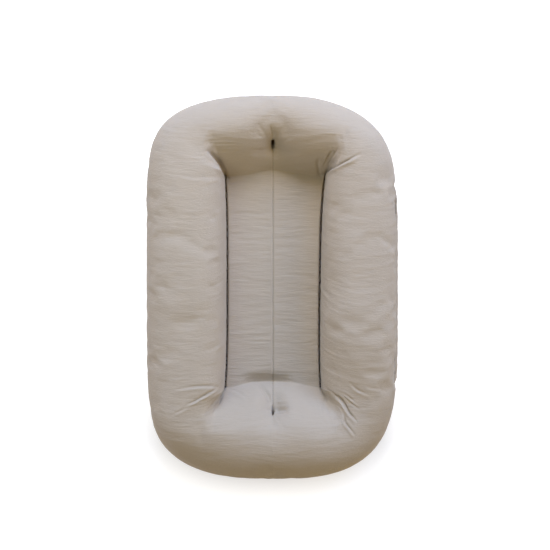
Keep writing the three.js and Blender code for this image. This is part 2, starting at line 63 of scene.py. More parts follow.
# Sling and its seams
seam_inset = 0.0026
half_sling = seam_inset - (seam_low.x + seam_high.x) / 2
sling_height = 0.036
sling_sag = 0.002
sling_thickness = 0.0045
seam_lean = 0.0050
seam_flick = 0.0030
seam_flick_power = 8
seam_lean_reach = 0.045
seam_pull_left = 0.0120
seam_pull_right = 0.0175
seam_pull_width = 0.0014
seam_pull_step = 0.0014
seam_pull_spread = 0.0013
seam_pull_end = 0.006
seam_calm_share = 0.8
seam_calm_width = 0.004
head_bow = 0.010
head_bow_width = 0.034
head_bow_reach = 0.030
foot_bow = 0.010
foot_bow_width = 0.062
foot_bow_reach = 0.035
foot_dip = 0.0105
foot_dip_above = 0.013
foot_dip_below = 0.006
foot_dip_width = 0.040
foot_dip_place = -0.010
# Painted shade in the side seams' crevices and the slits: the depth below the sling over which it grows to
# full, and the share of a slit's shape past which it starts
painted_shade_depth = 0.005
painted_shade_mouth_share = 0.35
centre_groove = 0.0012
centre_groove_width = 0.0014
lining_groove_width = 0.008

# Stuffed ring
rim_height = 0.060
waist_height = 0.052
seam_overhang = 0.004
seam_lip = 0.0006
hem_depth = 0.0018
zip_hem_depth = 0.0003
side_crest_share = 0.5
head_middle_crest_share = 0.60
head_corner_crest_share = 0.54
foot_crest_share = 0.46
waist_share = 0.8
roundness = 2.4
left_roundness = 3.2
left_outer_roundness = 2.7
right_roundness = 2.3
end_roundness = 2.05
floor_outer_share = 0.68
floor_inner_share = 0.3
side_tilt = math.radians(12)
end_tilt = math.radians(14)
pinch_row_share = 0.4
side_start = 0.8 * half_width
left_side_fade = 0.15 * half_width
left_bulge = 0.0022
left_bulge_rise = 0.030

# Layers under the cover
cloth_gap = 0.0024
sling_cloth_gap = 0.0012
fill_gap = 0.0060
stuffing_fill = 0.8

# Ends of the ring and of the centre seam: the value at the head, then the value at the foot
crown_share = (0.97, 0.99)
fillet_share = (0.12, 0.06)
crest_round = (0.85, 0.70)
pinch_run = (0.089, 0.121)
pinch_depth = (0.029, 0.022)
pinch_width = (0.036, 0.020)
pinch_reach = (0.042, 0.022)
slit_depth = (0.020, 0.011)
slit_width = (0.0018, 0.0013)
slit_reach = (0.0062, 0.0056)
centre_ends = (half_length - pinch_run[0], pinch_run[1] - half_length)

# Dimple round the head's slit, and how widely the layers under the cover follow its folds and slits
dimple_depth = 0.006
dimple_width = 0.012
lining_spread = 2.2
lining_slit_width = 0.006
lining_slit_share = 1.9

# Outline powers of each corner, across and along
head_right_powers = (2.3, 5.3)
head_left_powers = (2.4, 7.8)
foot_left_powers = (2.6, 5.9)
foot_right_powers = (2.65, 5.1)
outline_halvings = 50

# Zip opening in the right side
zip_head_end = tape_high.y
zip_foot_end = tape_low.y
hem_lap = 0.0012
slot_half = tape_high.z - rim_height - hem_lap
zip_tuck_above = 0.055
zip_tuck_below = 0.012
zip_fade = 0.022
zip_bulge = 0.0050
zip_bulge_rise = 0.014
zip_side_fade = 0.1 * half_width

# Softened edges of the zip's teeth and metal pieces
softened_angle = math.radians(40)
teeth_edge = 0.00018
stop_edge = 0.0002
metal_edge = 0.0003

# Crinkles and wrinkles of the gauze
crinkle_rise = 0.00010
crinkle_across = 0.016
crinkle_along = 0.0016
crinkle_slant = 0.35
crinkle_middle_gain = 0.4
crinkle_middle_fade = 0.3 * half_width
crinkle_outer_start = 0.74
crinkle_outer_fade = 0.18
crinkle_outer_share = 0.45
ripple_rise = 0.00010
ripple_across = 0.034
ripple_along = 0.0050
rim_wrinkle_rise = 0.0004
rim_wrinkle_across = 0.040
rim_wrinkle_along = 0.0065
rim_wrinkle_start = 0.62 * half_width
rim_wrinkle_fade = 0.2 * half_width
rim_wrinkle_reach = 0.85
rim_edge_start = 0.9 * half_width
rim_edge_fade = 0.08 * half_width
rim_edge_loss = 0.75
rim_patch_scale = 0.06
rim_patch_level = 0.55
rim_patch_swing = 0.6
rim_patch_most = 1.4
pucker_rise = 0.0004
lower_pucker_share = 0.4
pucker_across = 0.014
pucker_along = 0.0042
pucker_start = 0.84 * half_width
pucker_fade = 0.13 * half_width
swell_rise = 0.0012
swell_scale = 0.045
hollow_depth = 0.017
hollow_place = (0.138, -0.200)
hollow_reach = (0.064, 0.080)

# Noise fields: points to a wave, the points of each wrapped grid, and the seeds
wave_points = 4
patch_points = (128, 128)
crinkle_points = (256, 1024)
upper_seeds = (11, 21)
lower_seeds = (13, 23)
rim_patch_seed = 31
rim_wrinkle_seed = 33
pucker_seed = 41
swell_seed = 51

# Grids: rows along the sling, shares beside the centre seam, open columns, and steps of each corner's fan
fine_grid = (95, (0.008, 0.018, 0.032, 0.052, 0.078), 19, 40)
lining_grid = (49, (0.02, 0.05), 7, 16)
open_shares = (0.115, 0.9)
side_seam_shares = (0.922, 0.94, 0.955, 0.97, 0.985, 1)
settling_grid = (81, 37, 24)

# Cloths: outer rows, inner rows, how far each opens at the zip, and the layer, which sets its seam pull
cloths = {
    "cover_upper": (26, 24, 1, 0),
    "settling_cloth": (22, 20, 1, 0),
    "cover_lower": (20, 13, 1, 3),
    "insert_upper": (10, 10, 0, 1),
    "insert_lower": (8, 7, 0, 0),
}
fibre_layer = 1

# Shares of the rows near the cloths' edges and seams, and rows of the fibre
near_edge_shares = (0, 0.006, 0.016, 0.035, 0.06)
upper_edge_end = 0.09
lower_edge_end = 0.1
near_seam_shares = (0.85, 0.9, 0.94, 0.97, 0.99)
lower_seam_shares = (0.94, 0.97)
fibre_rows = 12
fibre_floor_rows = 10
fibre_inner_rows = 6
fibre_inner_share = 0.6

# Cloth simulation of the stuffed cover
settle_frames = 20
settle_cap = 0.004
settle_hold = 0.1
settle_neighbours = 6
rim_hold_height = 0.012
centre_hold_width = 0.020
cloth_settings = {
    "mass": 0.3,
    "tension_stiffness": 15,
    "compression_stiffness": 15,
    "shear_stiffness": 5,
    "bending_stiffness": 1.0,
    "shrink_min": -0.008,
    "use_pressure": True,
    "uniform_pressure_force": 4.0,
}

# Threads
thread_radius = 0.00032
thread_sides = 6
stitch_pitch = 0.0032
stitch_length = 0.0024
stitch_shares = (0, 0.12, 0.35, 0.65, 0.88, 1)
stitch_lift_start = 0.05
stitch_tip_start = 0.08
stitch_tip_share = 0.35
stitch_fullness = 0.4
topstitch_inset = 0.0024
tack_turns = (-1, -0.4, 0.3, 1)
tack_steps = 6
tack_spread = 0.3 * slit_reach[1]
tack_reach = 0.8 * slit_width[1]
tack_lift = 1.5 * thread_radius
tack_slant = 0.0003

# Camera, as the photograph was taken: straight down on the middle of the 550 pixel frame
photo_size = 550
photo_centre_x = 272.9
photo_centre_y = 287.3
metres_per_pixel = 0.001732
camera_distance = 1.6
sensor_width = 36.0

# Lamps, which all face the lounger's middle at the rim's height: place, size, power and colour
lamps = {
    "window": ((0, 2.05, 1.49), 1.2, 48, (0.57, 0.70, 1.0)),
    "side_window": ((1.32, 1.57, 1.49), 1.2, 28, (0.21, 0.48, 1.0)),
    "right_bounce": ((2.17, 0, 1.31), 1.4, 19, (1.0, 0.80, 0.53)),
    "left_bounce": ((-2.43, 0, 0.66), 1.2, 16.5, (0.92, 0.86, 1.0)),
    "foot_bounce": ((0, -2.17, 1.31), 1.4, 10, (1.0, 0.73, 0.30)),
    "near_head": ((0.1, 0.9, 0.9), 0.5, 4.2, (1.0, 0.69, 0.26)),
    "near_left": ((-0.6, 0.2, 1.0), 0.5, 1.7, (0.88, 1.0, 0.90)),
}
fill_colour = (1.0, 0.85, 0.60, 1)
fill_strength = 0.12

white = (1, 1, 1, 1)

# Floor, whose contact shade starts, is full and fades out at shares of half the lounger's length
floor_reach = 20
floor_colour = (0.72, 0.66, 0.56, 1)
shadow_colour = (0.40, 0.40, 0.40, 1)
contact_colour = (0.87, 0.875, 0.89, 1)
contact_distance = 0.06
foot_shade_shares = (0.5, 0.85)
near_shade_shares = (1.25, 1.7)


@dataclass
class Finish:
    """A material's dark and light tint, its roughness, and the strength and the height of its bump."""

    dark: tuple
    light: tuple
    roughness: float
    bump_strength: float
    bump_height: float


finishes = {
    "cotton_gauze": Finish((0.43, 0.375, 0.31, 1), (0.52, 0.465, 0.39, 1), 0.92, 0.6, 0.0012),
    "plain_lining": Finish((0.74, 0.72, 0.67, 1), (0.85, 0.83, 0.79, 1), 0.92, 0.6, 0.0008),
    "spun_thread": Finish((0.21, 0.18, 0.145, 1), (0.33, 0.29, 0.245, 1), 0.75, 0.4, 0.0002),
    "loose_fibre": Finish((0.72, 0.72, 0.70, 1), (0.88, 0.88, 0.86, 1), 0.95, 0.8, 0.002),
    "woven_zip_tape": Finish((0.33, 0.29, 0.24, 1), (0.45, 0.40, 0.34, 1), 0.85, 0.5, 0.0002),
    "moulded_zip_teeth": Finish((0.34, 0.295, 0.24, 1), (0.42, 0.37, 0.31, 1), 0.42, 0.15, 0.0001),
    "enamelled_zip_metal": Finish((0.29, 0.25, 0.20, 1), (0.36, 0.315, 0.26, 1), 0.34, 0.1, 0.0001),
}
# Painted shade: the near-black brown painted into the crevices and the slits' mouths in place of their
# shadow
painted_shade_colour = (0.10, 0.07, 0.045, 1)


# Grain of the materials as noise: scale, detail and roughness
gauze_crinkles = ((60, 420, 420), 3, 0.6)
gauze_fine = ((150, 900, 900), 2)
gauze_mottle = ((9, 9, 9), 4, 0.55)
gauze_slubs = ((70, 600, 600), 2, 0.7)
fibre_strands = ((300, 300, 300), 5, 0.7)
thread_twist = (1400, 2)
tooth_mottle = (180, 3)
tooth_grain = (2400, 2)
metal_mottle = (220, 4)
metal_grain = (1500, 2)

# Grain of the materials as woven threads, and how strong it all is
gauze_warp_scale = 1500
gauze_weft_scale = 1300
tape_rib_scale = 2600
tape_cross_scale = 1900
woven_waver = 1.2
gauze_thread_share = 0.06
gauze_fine_share = 0.35
cover_crinkle = 1.0
lining_crinkle = 0.3
metal_least_roughness = 0.24
metal_roughness_swing = 0.2
cloth_softness = {"Specular IOR Level": 0.25, "Sheen Weight": 0.2, "Sheen Roughness": 0.5}
metal_coat = {"Coat Weight": 0.35, "Coat Roughness": 0.2}

# Numbers of the Mix node's colour sockets
mix_low = 6
mix_high = 7
mix_result = 2


def smooth(value):
    """Rises smoothly from 0 to 1 as the value does."""
    share = np.clip(value, 0, 1)
    return share * share * (3 - 2 * share)


def beyond(value, start, reach):
    """0 up to the start, rising to 1 over the reach past it."""
    return smooth((value - start) / reach)


def within(value, low, high, fade):
    """1 from low to high, fading to 0 past both."""
    return smooth((high + fade - value) / fade) * smooth((value - low + fade) / fade)


def bell(distance, width):
    return np.exp(-((distance / width) ** 2))


def flat_bell(distance, width):
    return bell((distance / width) ** 2, 1)


def parts(points):
    """Views of the points' x, y and z."""
    return np.moveaxis(points, -1, 0)


def by_end(y, pair):
    """A pair's first value towards the head, and its second towards the foot."""
    return np.where(y > 0, *pair)


# Nodes


def set_inputs(tree, node, inputs):
    """Gives each input a value, or links it to another node's output."""
    for label, value in inputs.items():
        if isinstance(value, bpy.types.NodeSocket):
            tree.links.new(value, node.inputs[label])
        else:
            node.inputs[label].default_value = value


def add_node(tree, kind, inputs=None, **settings):
    node = tree.nodes.new("ShaderNode" + kind)
    for label, value in settings.items():
        setattr(node, label, value)
    set_inputs(tree, node, inputs or {})
    return node


def maths(tree, operation, first, second):
    return add_node(tree, "Math", {0: first, 1: second}, operation=operation).outputs["Value"]


def mixed(tree, mask, low, high):
    """A colour between two, as the mask says."""
    inputs = {"Factor": mask, mix_low: low, mix_high: high}
    return add_node(tree, "Mix", inputs, data_type="RGBA").outputs[mix_result]


def ramp(tree, value, start, end):
    """Rises from 0 to 1 as the value goes from start to end."""
    inputs = {"Value": value, "From Min": start, "From Max": end}
    return add_node(tree, "MapRange", inputs).outputs["Result"]


def show(tree, output, lighting, seen):
    """Ends a tree: one shader lights the object, and the other is what the camera, gloss and glass see."""
    path = add_node(tree, "LightPath").outputs
    rays = maths(tree, "MAXIMUM", path["Is Camera Ray"], path["Is Glossy Ray"])
    rays = maths(tree, "MAXIMUM", rays, path["Is Transmission Ray"])
    mix = add_node(tree, "MixShader", {"Fac": rays, 1: lighting, 2: seen})
    add_node(tree, output, {"Surface": mix.outputs["Shader"]})


# Camera, light and floor


def add_camera():
    data = bpy.data.cameras.new("camera")
    data.sensor_width = sensor_width
    data.lens = sensor_width * camera_distance / (photo_size * metres_per_pixel)
    camera = bpy.data.objects.new("camera", data)
    aside = (photo_size / 2 - photo_centre_x) * metres_per_pixel
    above = (photo_centre_y - photo_size / 2) * metres_per_pixel
    camera.location = (aside, above, rim_height + camera_distance)
    bpy.context.scene.collection.objects.link(camera)
    bpy.context.scene.camera = camera


def add_lamp(name, place, size, power, colour):
    data = bpy.data.lights.new(name, "AREA")
    data.shape = "SQUARE"
    data.size = size
    data.energy = power
    data.color = colour
    lamp = bpy.data.objects.new(name, data)
    lamp.location = place
    towards = Vector((0, 0, rim_height)) - Vector(place)
    lamp.rotation_mode = "QUATERNION"
    lamp.rotation_quaternion = towards.to_track_quat("-Z", "Y")
    bpy.context.scene.collection.objects.link(lamp)


def set_world():
    world = bpy.data.worlds.new("studio")
    world.use_nodes = True
    tree = world.node_tree
    tree.nodes.clear()
    fill = add_node(tree, "Background", {"Color": fill_colour, "Strength": fill_strength})
    seen = add_node(tree, "Background", {"Color": white, "Strength": 1})
    show(tree, "OutputWorld", fill.outputs["Background"], seen.outputs["Background"])
    bpy.context.scene.world = world


def floor_material():
    """A pale floor seen as white, with the lounger's shadow and a contact shade at its foot."""
    material = bpy.data.materials.new("pale_floor")
    material.use_nodes = True
    tree = material.node_tree
    tree.nodes.clear()
    place = add_node(tree, "NewGeometry").outputs["Position"]
    along = add_node(tree, "SeparateXYZ", {"Vector": place}).outputs["Y"]
    foot = ramp(tree, along, *(-half_length * share for share in foot_shade_shares))
    away = add_node(tree, "VectorMath", {0: place}, operation="LENGTH").outputs["Value"]
    near = ramp(tree, away, *(half_length * share for share in reversed(near_shade_shares)))
    contact = add_node(tree, "AmbientOcclusion", {"Color": contact_colour, "Distance": contact_distance})
    colour = mixed(tree, maths(tree, "MULTIPLY", foot, near), white, contact.outputs["Color"])
    glow = add_node(tree, "Emission", {"Color": colour})
    shadow = add_node(tree, "BsdfDiffuse", {"Color": shadow_colour})
    seen = add_node(tree, "AddShader", {0: glow.outputs["Emission"], 1: shadow.outputs["BSDF"]})
    plain = add_node(tree, "BsdfDiffuse", {"Color": floor_colour})
    show(tree, "OutputMaterial", plain.outputs["BSDF"], seen.outputs["Shader"])
    return material


def add_floor():
    mesh = bpy.data.meshes.new("floor")
    corners = [(x * floor_reach, y * floor_reach, 0) for x, y in ((-1, -1), (1, -1), (1, 1), (-1, 1))]
    mesh.from_pydata(corners, [], [(0, 1, 2, 3)])
    mesh.materials.append(floor_material())
    floor = bpy.data.objects.new("floor", mesh)
    bpy.context.scene.collection.objects.link(floor)


# Outline of the lounger and rays across its ring


def inside_outline(x, y):
    powers = np.where(
        y[..., None] >= 0,
        np.where(x[..., None] >= 0, head_right_powers, head_left_powers),
        np.where(x[..., None] >= 0, foot_right_powers, foot_left_powers),
    )
    across = np.abs(x / half_width) ** powers[..., 0]
    along = np.abs(y / half_length) ** powers[..., 1]
    return across + along < 1


@dataclass
class Rays:
    """Rays from the edge of the sling out to the rim, counterclockwise from the foot of the right side."""

    start: np.ndarray
    direction: np.ndarray
    run: np.ndarray
    weight: np.ndarray
    overhang: np.ndarray
    sling_place: list


def rim_distances(start, direction):
    near = np.zeros(len(start))
    far = np.full(len(start), 2 * half_length)
    for _ in range(outline_halvings):
        middle = (near + far) / 2
        point = start + direction * middle[:, None]
        inside = inside_outline(point[:, 0], point[:, 1])
        near = np.where(inside, middle, near)
        far = np.where(inside, far, middle)
    return near


def make_rays(side_shares, end_shares, fan_steps):
    """Rays with their weight, 0 at the sides and 1 at the ends, and their place in the sling's grid."""
    rows, columns = len(side_shares), len(end_shares)
    found = []

    def add(side_sign, x, y, opening, weight, overhang, row, column):
        angle = opening if side_sign > 0 else math.pi - opening
        found.append((x, y, angle, weight, overhang, row * columns + column))

    def side(sign):
        column = (columns - 1) * (sign > 0)
        for row in range(rows)[::sign]:
            from_middle = 2 * side_shares[row] - 1
            y = sling_foot + side_shares[row] * sling_length
            overhang = seam_overhang * (1 - from_middle**4)
            add(sign, sign * half_sling, y, side_tilt * from_middle, 0, overhang, row, column)

    def end(sign):
        y = sling_head if sign > 0 else sling_foot
        for column in range(columns)[::-sign]:
            share = end_shares[column]
            angle = sign * (math.pi / 2 - end_tilt * share)
            add(1, share * half_sling, y, angle, 1, 0, (rows - 1) * (sign > 0), column)

    def fan(side_sign, end_sign):
        y = sling_head if end_sign > 0 else sling_foot
        row, column = (rows - 1) * (end_sign > 0), (columns - 1) * (side_sign > 0)
        for step in range(1, fan_steps)[:: side_sign * end_sign]:
            share = step / fan_steps
            opening = end_sign * (side_tilt + share * (math.pi / 2 - end_tilt - side_tilt))
            add(side_sign, side_sign * half_sling, y, opening, float(smooth(share)), 0, row, column)

    side(1)
    fan(1, 1)
    end(1)
    fan(-1, 1)
    side(-1)
    fan(-1, -1)
    end(-1)
    fan(1, -1)
    x, y, angle, weight, overhang, place = (np.array(values) for values in zip(*found))
    start = np.stack([x, y], axis=1)
    direction = np.stack([np.cos(angle), np.sin(angle)], axis=1)
    return Rays(start, direction, rim_distances(start, direction), weight, overhang, place.tolist())


# Sections of the ring


def power_of(value, power=roundness):
    return np.abs(value) ** (2 / power)


def crown_heights(rays):
    end = by_end(rays.start[:, 1], crown_share)
    return crest_height * (1 + (end - 1) * rays.weight)


def crest_shares(rays):
    """How far out along each ray the crest stands."""
    aside = (rays.start[:, 0] / half_sling) ** 2
    head = head_middle_crest_share + (head_corner_crest_share - head_middle_crest_share) * aside
    end = by_end(rays.start[:, 1], (head, foot_crest_share))
    return side_crest_share + (end - side_crest_share) * rays.weight


def in_zip_span(y):
    """1 along the zip, fading to 0 past its ends."""
    return within(y, zip_foot_end, zip_head_end, zip_fade)


def zip_share(rays):
    """1 where a ray ends at the zip, fading to 0 past its ends."""
    rim = rays.start + rays.direction * rays.run[:, None]
    return in_zip_span(rim[:, 1]) * (rim[:, 0] > 0) * (np.abs(rays.weight) < 0.5)


def placed(rays, share, height):
    reach = rays.run[:, None] * share
    points = np.empty(share.shape + (3,))
    points[..., :2] = rays.start[:, None] + rays.direction[:, None] * reach[..., None]
    points[..., 2] = height
    return points


def outer_rows(rays, shares, lift):
    """Rows from the rim up to the crest."""
    angle = shares[None] * math.pi / 2
    edge = (rim_height + lift)[:, None]
    crest = crest_shares(rays)[:, None]
    side_power = np.where(rays.start[:, 0] < 0, left_outer_roundness, roundness)
    power = (side_power + (end_roundness - side_power) * rays.weight)[:, None]
    share = crest + (1 - crest) * power_of(np.cos(angle), power)
    height = edge + (crown_heights(rays)[:, None] - edge) * power_of(np.sin(angle), power)
    inset = seam_lip * bell(height - edge, seam_lip)
    return placed(rays, share - inset / rays.run[:, None], height)


def inner_rows(rays, shares):
    """Rows from the crest down to the edge of the sling: a bulging side, or a slope at the ends."""
    y = rays.start[:, 1]
    crown, crest = crown_heights(rays)[:, None], crest_shares(rays)[:, None]
    turned = np.clip(shares / waist_share, 0, 1)[None] * math.pi / 2
    tucked = np.clip((shares - waist_share) / (1 - waist_share), 0, 1)[None]
    over = (rays.overhang / rays.run)[:, None]
    power = np.where(rays.start[:, 0] < 0, left_roundness, right_roundness)[:, None]
    side_share = crest - (crest + over) * power_of(np.sin(turned), power)
    side_share = np.where(tucked > 0, -over * np.sqrt(1 - tucked**2), side_share)
    side_height = waist_height + (crown - waist_height) * power_of(np.cos(turned), power)
    side_height = np.where(tucked > 0, waist_height - (waist_height - sling_height) * tucked, side_height)
    end_run = half_length - by_end(y, sling_ends)
    pinch = ((by_end(y, pinch_run) / end_run)[:, None] - (1 - crest)) / crest
    bend = (pinch - pinch_row_share) / (pinch_row_share * (1 - pinch_row_share))
    step = shares[None] + bend * shares[None] * (1 - shares[None])
    end_share = crest * (1 - step)
    fillet, rounded = by_end(y, fillet_share)[:, None], by_end(y, crest_round)[:, None]
    drop = np.where(step < rounded, step * step / (2 * rounded), step - rounded / 2) / (1 - rounded / 2)
    slope = (1 - fillet) * (1 - drop) + fillet * (1 + np.cos(math.pi * step)) / 2
    end_height = sling_height + (crown - sling_height) * slope
    weight = rays.weight[:, None]
    share = side_share + (end_share - side_share) * weight
    height = side_height + (end_height - side_height) * weight
    return placed(rays, share, height)


def base_rows(rays, outer_shares, inner_shares, lift):
    """Rows from the rim down to the floor, and rows from there up to the underside of the sling."""
    edge = (rim_height - lift)[:, None]
    angle = outer_shares[None] * math.pi / 2
    share = floor_outer_share + (1 - floor_outer_share) * power_of(np.cos(angle))
    share = np.broadcast_to(share, (len(rays.run), len(outer_shares)))
    height = edge * (1 - power_of(np.sin(angle)))
    inset = seam_lip * bell(edge - height, seam_lip)
    outer = placed(rays, share - inset / rays.run[:, None], height)
    angle = inner_shares[None] * math.pi / 2
    share = np.broadcast_to(floor_inner_share * (1 - np.sin(angle)), (len(rays.run), len(inner_shares)))
    under = (sling_height - sling_thickness) * (1 - np.cos(angle))
    return outer, placed(rays, share, np.broadcast_to(under, share.shape))


def hem_row(rays, edge_row, side):
    """The edge of the cloth, turned in behind the rim."""
    turned = edge_row.copy()
    depth = hem_depth + (zip_hem_depth - hem_depth) * zip_share(rays)
    turned[:, :2] -= rays.direction * depth[:, None]
    turned[:, 2] += side * seam_lip
    return turned


def sling_grid(side_shares, end_shares, height):
    x_share, y_share = np.meshgrid(end_shares, side_shares)
    sag = sling_sag * (1 - x_share**2) * (1 - (2 * y_share - 1) ** 2)
    x = x_share * half_sling
    y = sling_foot + y_share * sling_length
    return np.stack([x, y, height - sag], axis=-1)


# Pulls that every layer of cloth follows


def pinch_dip(points):
    """How far the centre seam's end draws the slope down at the head and at the foot."""
    x, y, _ = parts(points)
    pinch_y = half_length - by_end(y, pinch_run)
    outwards = np.abs(y) - pinch_y
    inwards = smooth(1 + outwards / (pinch_y - by_end(y, sling_ends)))
    along = np.where(outwards > 0, bell(outwards, by_end(y, pinch_reach)), inwards)
    return by_end(y, pinch_depth) * bell(x, by_end(y, pinch_width)) * along


def seam_pull(points, layer):
    """How far the side seams are drawn down, deeper and wider as the layer's number grows."""
    x, y, z = parts(points)
    depth = np.where(x > 0, seam_pull_right, seam_pull_left) + layer * seam_pull_step
    width = seam_pull_width + layer * seam_pull_spread
    low = smooth((waist_height - z) / (waist_height - sling_height))
    from_middle = 2 * (y - sling_foot) / sling_length - 1
    line = half_sling - seam_overhang * np.clip(1 - from_middle**4, 0, 1)
    aside = np.maximum(line - np.abs(x), np.abs(x) - half_sling)
    along = within(y, sling_foot, sling_head, seam_pull_end)
    return depth * bell(np.maximum(0, aside), width) * low * along


def lean_right_seam(points):
    """The right seam leans outwards towards the head."""
    x, y, _ = parts(points)
    share = np.clip((y - sling_foot) / sling_length, 0, 1)
    lean = seam_lean * share + seam_flick * share**seam_flick_power
    lean = lean * bell(np.maximum(0, y - sling_head), seam_lean_reach)
    points[..., 0] = x + lean * bell(x - half_sling, seam_lean_reach)


def draw_in_at_zip(points):
    """The zip holds the rim in, and the cloth puffs out below it."""
    x, y, z = parts(points)
    past = np.maximum(0, np.abs(z - rim_height) - slot_half)
    fade = np.where(z > rim_height, zip_tuck_above, zip_tuck_below)
    tuck = (half_width - zip_face) * (1 - smooth(past / fade))
    beside = beyond(x, side_start, zip_side_fade)
    below = smooth(past / zip_bulge_rise) * smooth(z / zip_bulge_rise) * (z < rim_height)
    points[..., 0] = np.minimum(x, half_width) + (zip_bulge * below - tuck) * beside * in_zip_span(y)


def bulge_left(points):
    """The left side bulges out past the rim seam, most in its middle."""
    x, y, z = parts(points)
    beside = beyond(-x, side_start, left_side_fade)
    middle = np.clip(1 - (y / half_length) ** 2, 0, 1)
    points[..., 0] = x - left_bulge * beside * bell(z - rim_height, left_bulge_rise) * middle


def bow_ends(points):
    """The sling's ends bow towards the head in their middle, and its foot end is sunk along its line."""
    x, y, _ = parts(points)
    y = y + head_bow * bell(x, head_bow_width) * bell(y - sling_head, head_bow_reach)
    past = y - sling_foot
    along = np.where(past > 0, bell(past, foot_dip_above), bell(past, foot_dip_below))
    points[..., 2] -= foot_dip * flat_bell(x - foot_dip_place, foot_dip_width) * along
    points[..., 1] = y + foot_bow * flat_bell(x, foot_bow_width) * bell(past, foot_bow_reach)


def pull_cloth(points, layer):
    """Draws in the ring or the sling of one layer of cloth."""
    points[..., 2] -= seam_pull(points, layer)
    bow_ends(points)
    bulge_left(points)
    draw_in_at_zip(points)
    lean_right_seam(points)


# Grids to meshes


def ring_faces(index):
    """Faces between neighbouring rays, whose vertices are listed in rows."""
    faces = []
    for ray, here in enumerate(index):
        beside = index[(ray + 1) % len(index)]
        for row in range(len(here) - 1):
            corners = [here[row], beside[row], beside[row + 1], here[row + 1]]
            faces.append(list(dict.fromkeys(corners)))
    return faces


def ring_and_sling(rings, sling, rays, side):
    """One mesh of the ring's rows and the sling's grid, which share the seam between them."""
    rows, columns = rings.shape[1], sling.shape[1]
    points = np.concatenate([sling.reshape(-1, 3), rings.reshape(-1, 3)])
    first = sling.shape[0] * columns
    index = []
    for ray, place in enumerate(rays.sling_place):
        index.append([first + ray * rows + row for row in range(rows)] + [place])
    faces = ring_faces(index)
    for row in range(sling.shape[0] - 1):
        for column in range(columns - 1):
            corner = row * columns + column
            faces.append([corner, corner + 1, corner + columns + 1, corner + columns])
    return points, [face[::side] for face in faces]


def add_piece(name, points, faces, material):
    mesh = bpy.data.meshes.new(name)
    mesh.from_pydata([tuple(point) for point in points], [], faces)
    mesh.polygons.foreach_set("use_smooth", [True] * len(mesh.polygons))
    if material:
        mesh.materials.append(material)
    mesh.update()
    piece = bpy.data.objects.new(name, mesh)
    bpy.context.scene.collection.objects.link(piece)
    return piece


def vectors(elements, label):
    """Three numbers of each element of a mesh, a row for each."""
    values = np.empty(len(elements) * 3)
    elements.foreach_get(label, values)
    return values.reshape(-1, 3)


def coordinates(mesh):
    return vectors(mesh.vertices, "co")


def set_coordinates(mesh, points):
    mesh.vertices.foreach_set("co", points.ravel())
    mesh.update()


def displace(piece, distance_at):
    """Moves each point along its normal by distance_at(points), and keeps it above the floor."""
    points = coordinates(piece.data)
    moved = points + vectors(piece.data.vertex_normals, "vector") * distance_at(points)[:, None]
    moved[:, 2] = np.maximum(moved[:, 2], 0)
    set_coordinates(piece.data, moved)


def shrink(piece, distance):
    displace(piece, lambda points: np.full(len(points), -distance))


def refine(piece):
    """Splits each face in four and rounds the surface."""
    modifier = piece.modifiers.new("refine", "SUBSURF")
    modifier.levels = 1
    modifier.render_levels = 1
    graph = bpy.context.evaluated_depsgraph_get()
    finer = bpy.data.meshes.new_from_object(piece.evaluated_get(graph))
    piece.modifiers.clear()
    coarse = piece.data
    piece.data = finer
    bpy.data.meshes.remove(coarse)
    finer.name = piece.name


# Folds, each measured from an anchor

fold_reach = 0.1
fold_depth = 0.0030
fold_width = 0.0020
fold_steps = 32
fold_margin = 7
fold_start = 0.1
fold_fullness = 0.8
ridge_share = 0.6
ridge_offset = 1.9
ridge_spread = 1.5

fold_anchors = {
    "head_right": (half_sling, sling_head),
    "head_left": (-half_sling, sling_head),
    "foot_left": (-half_sling, sling_foot),
    "foot_right": (half_sling, sling_foot),
    "head_pinch": (0, centre_ends[0]),
    "foot_pinch": (0, centre_ends[1]),
}


@dataclass
class Fold:
    """A valley in the cloth along three points, with a ridge on its left (1), its right (-1) or neither (0).

    The points have bearings in degrees, and distances in shares of the fold reach.
    """

    anchor: str
    bearings: tuple
    reach_shares: tuple
    depth_share: float
    width_share: float
    ridge: int


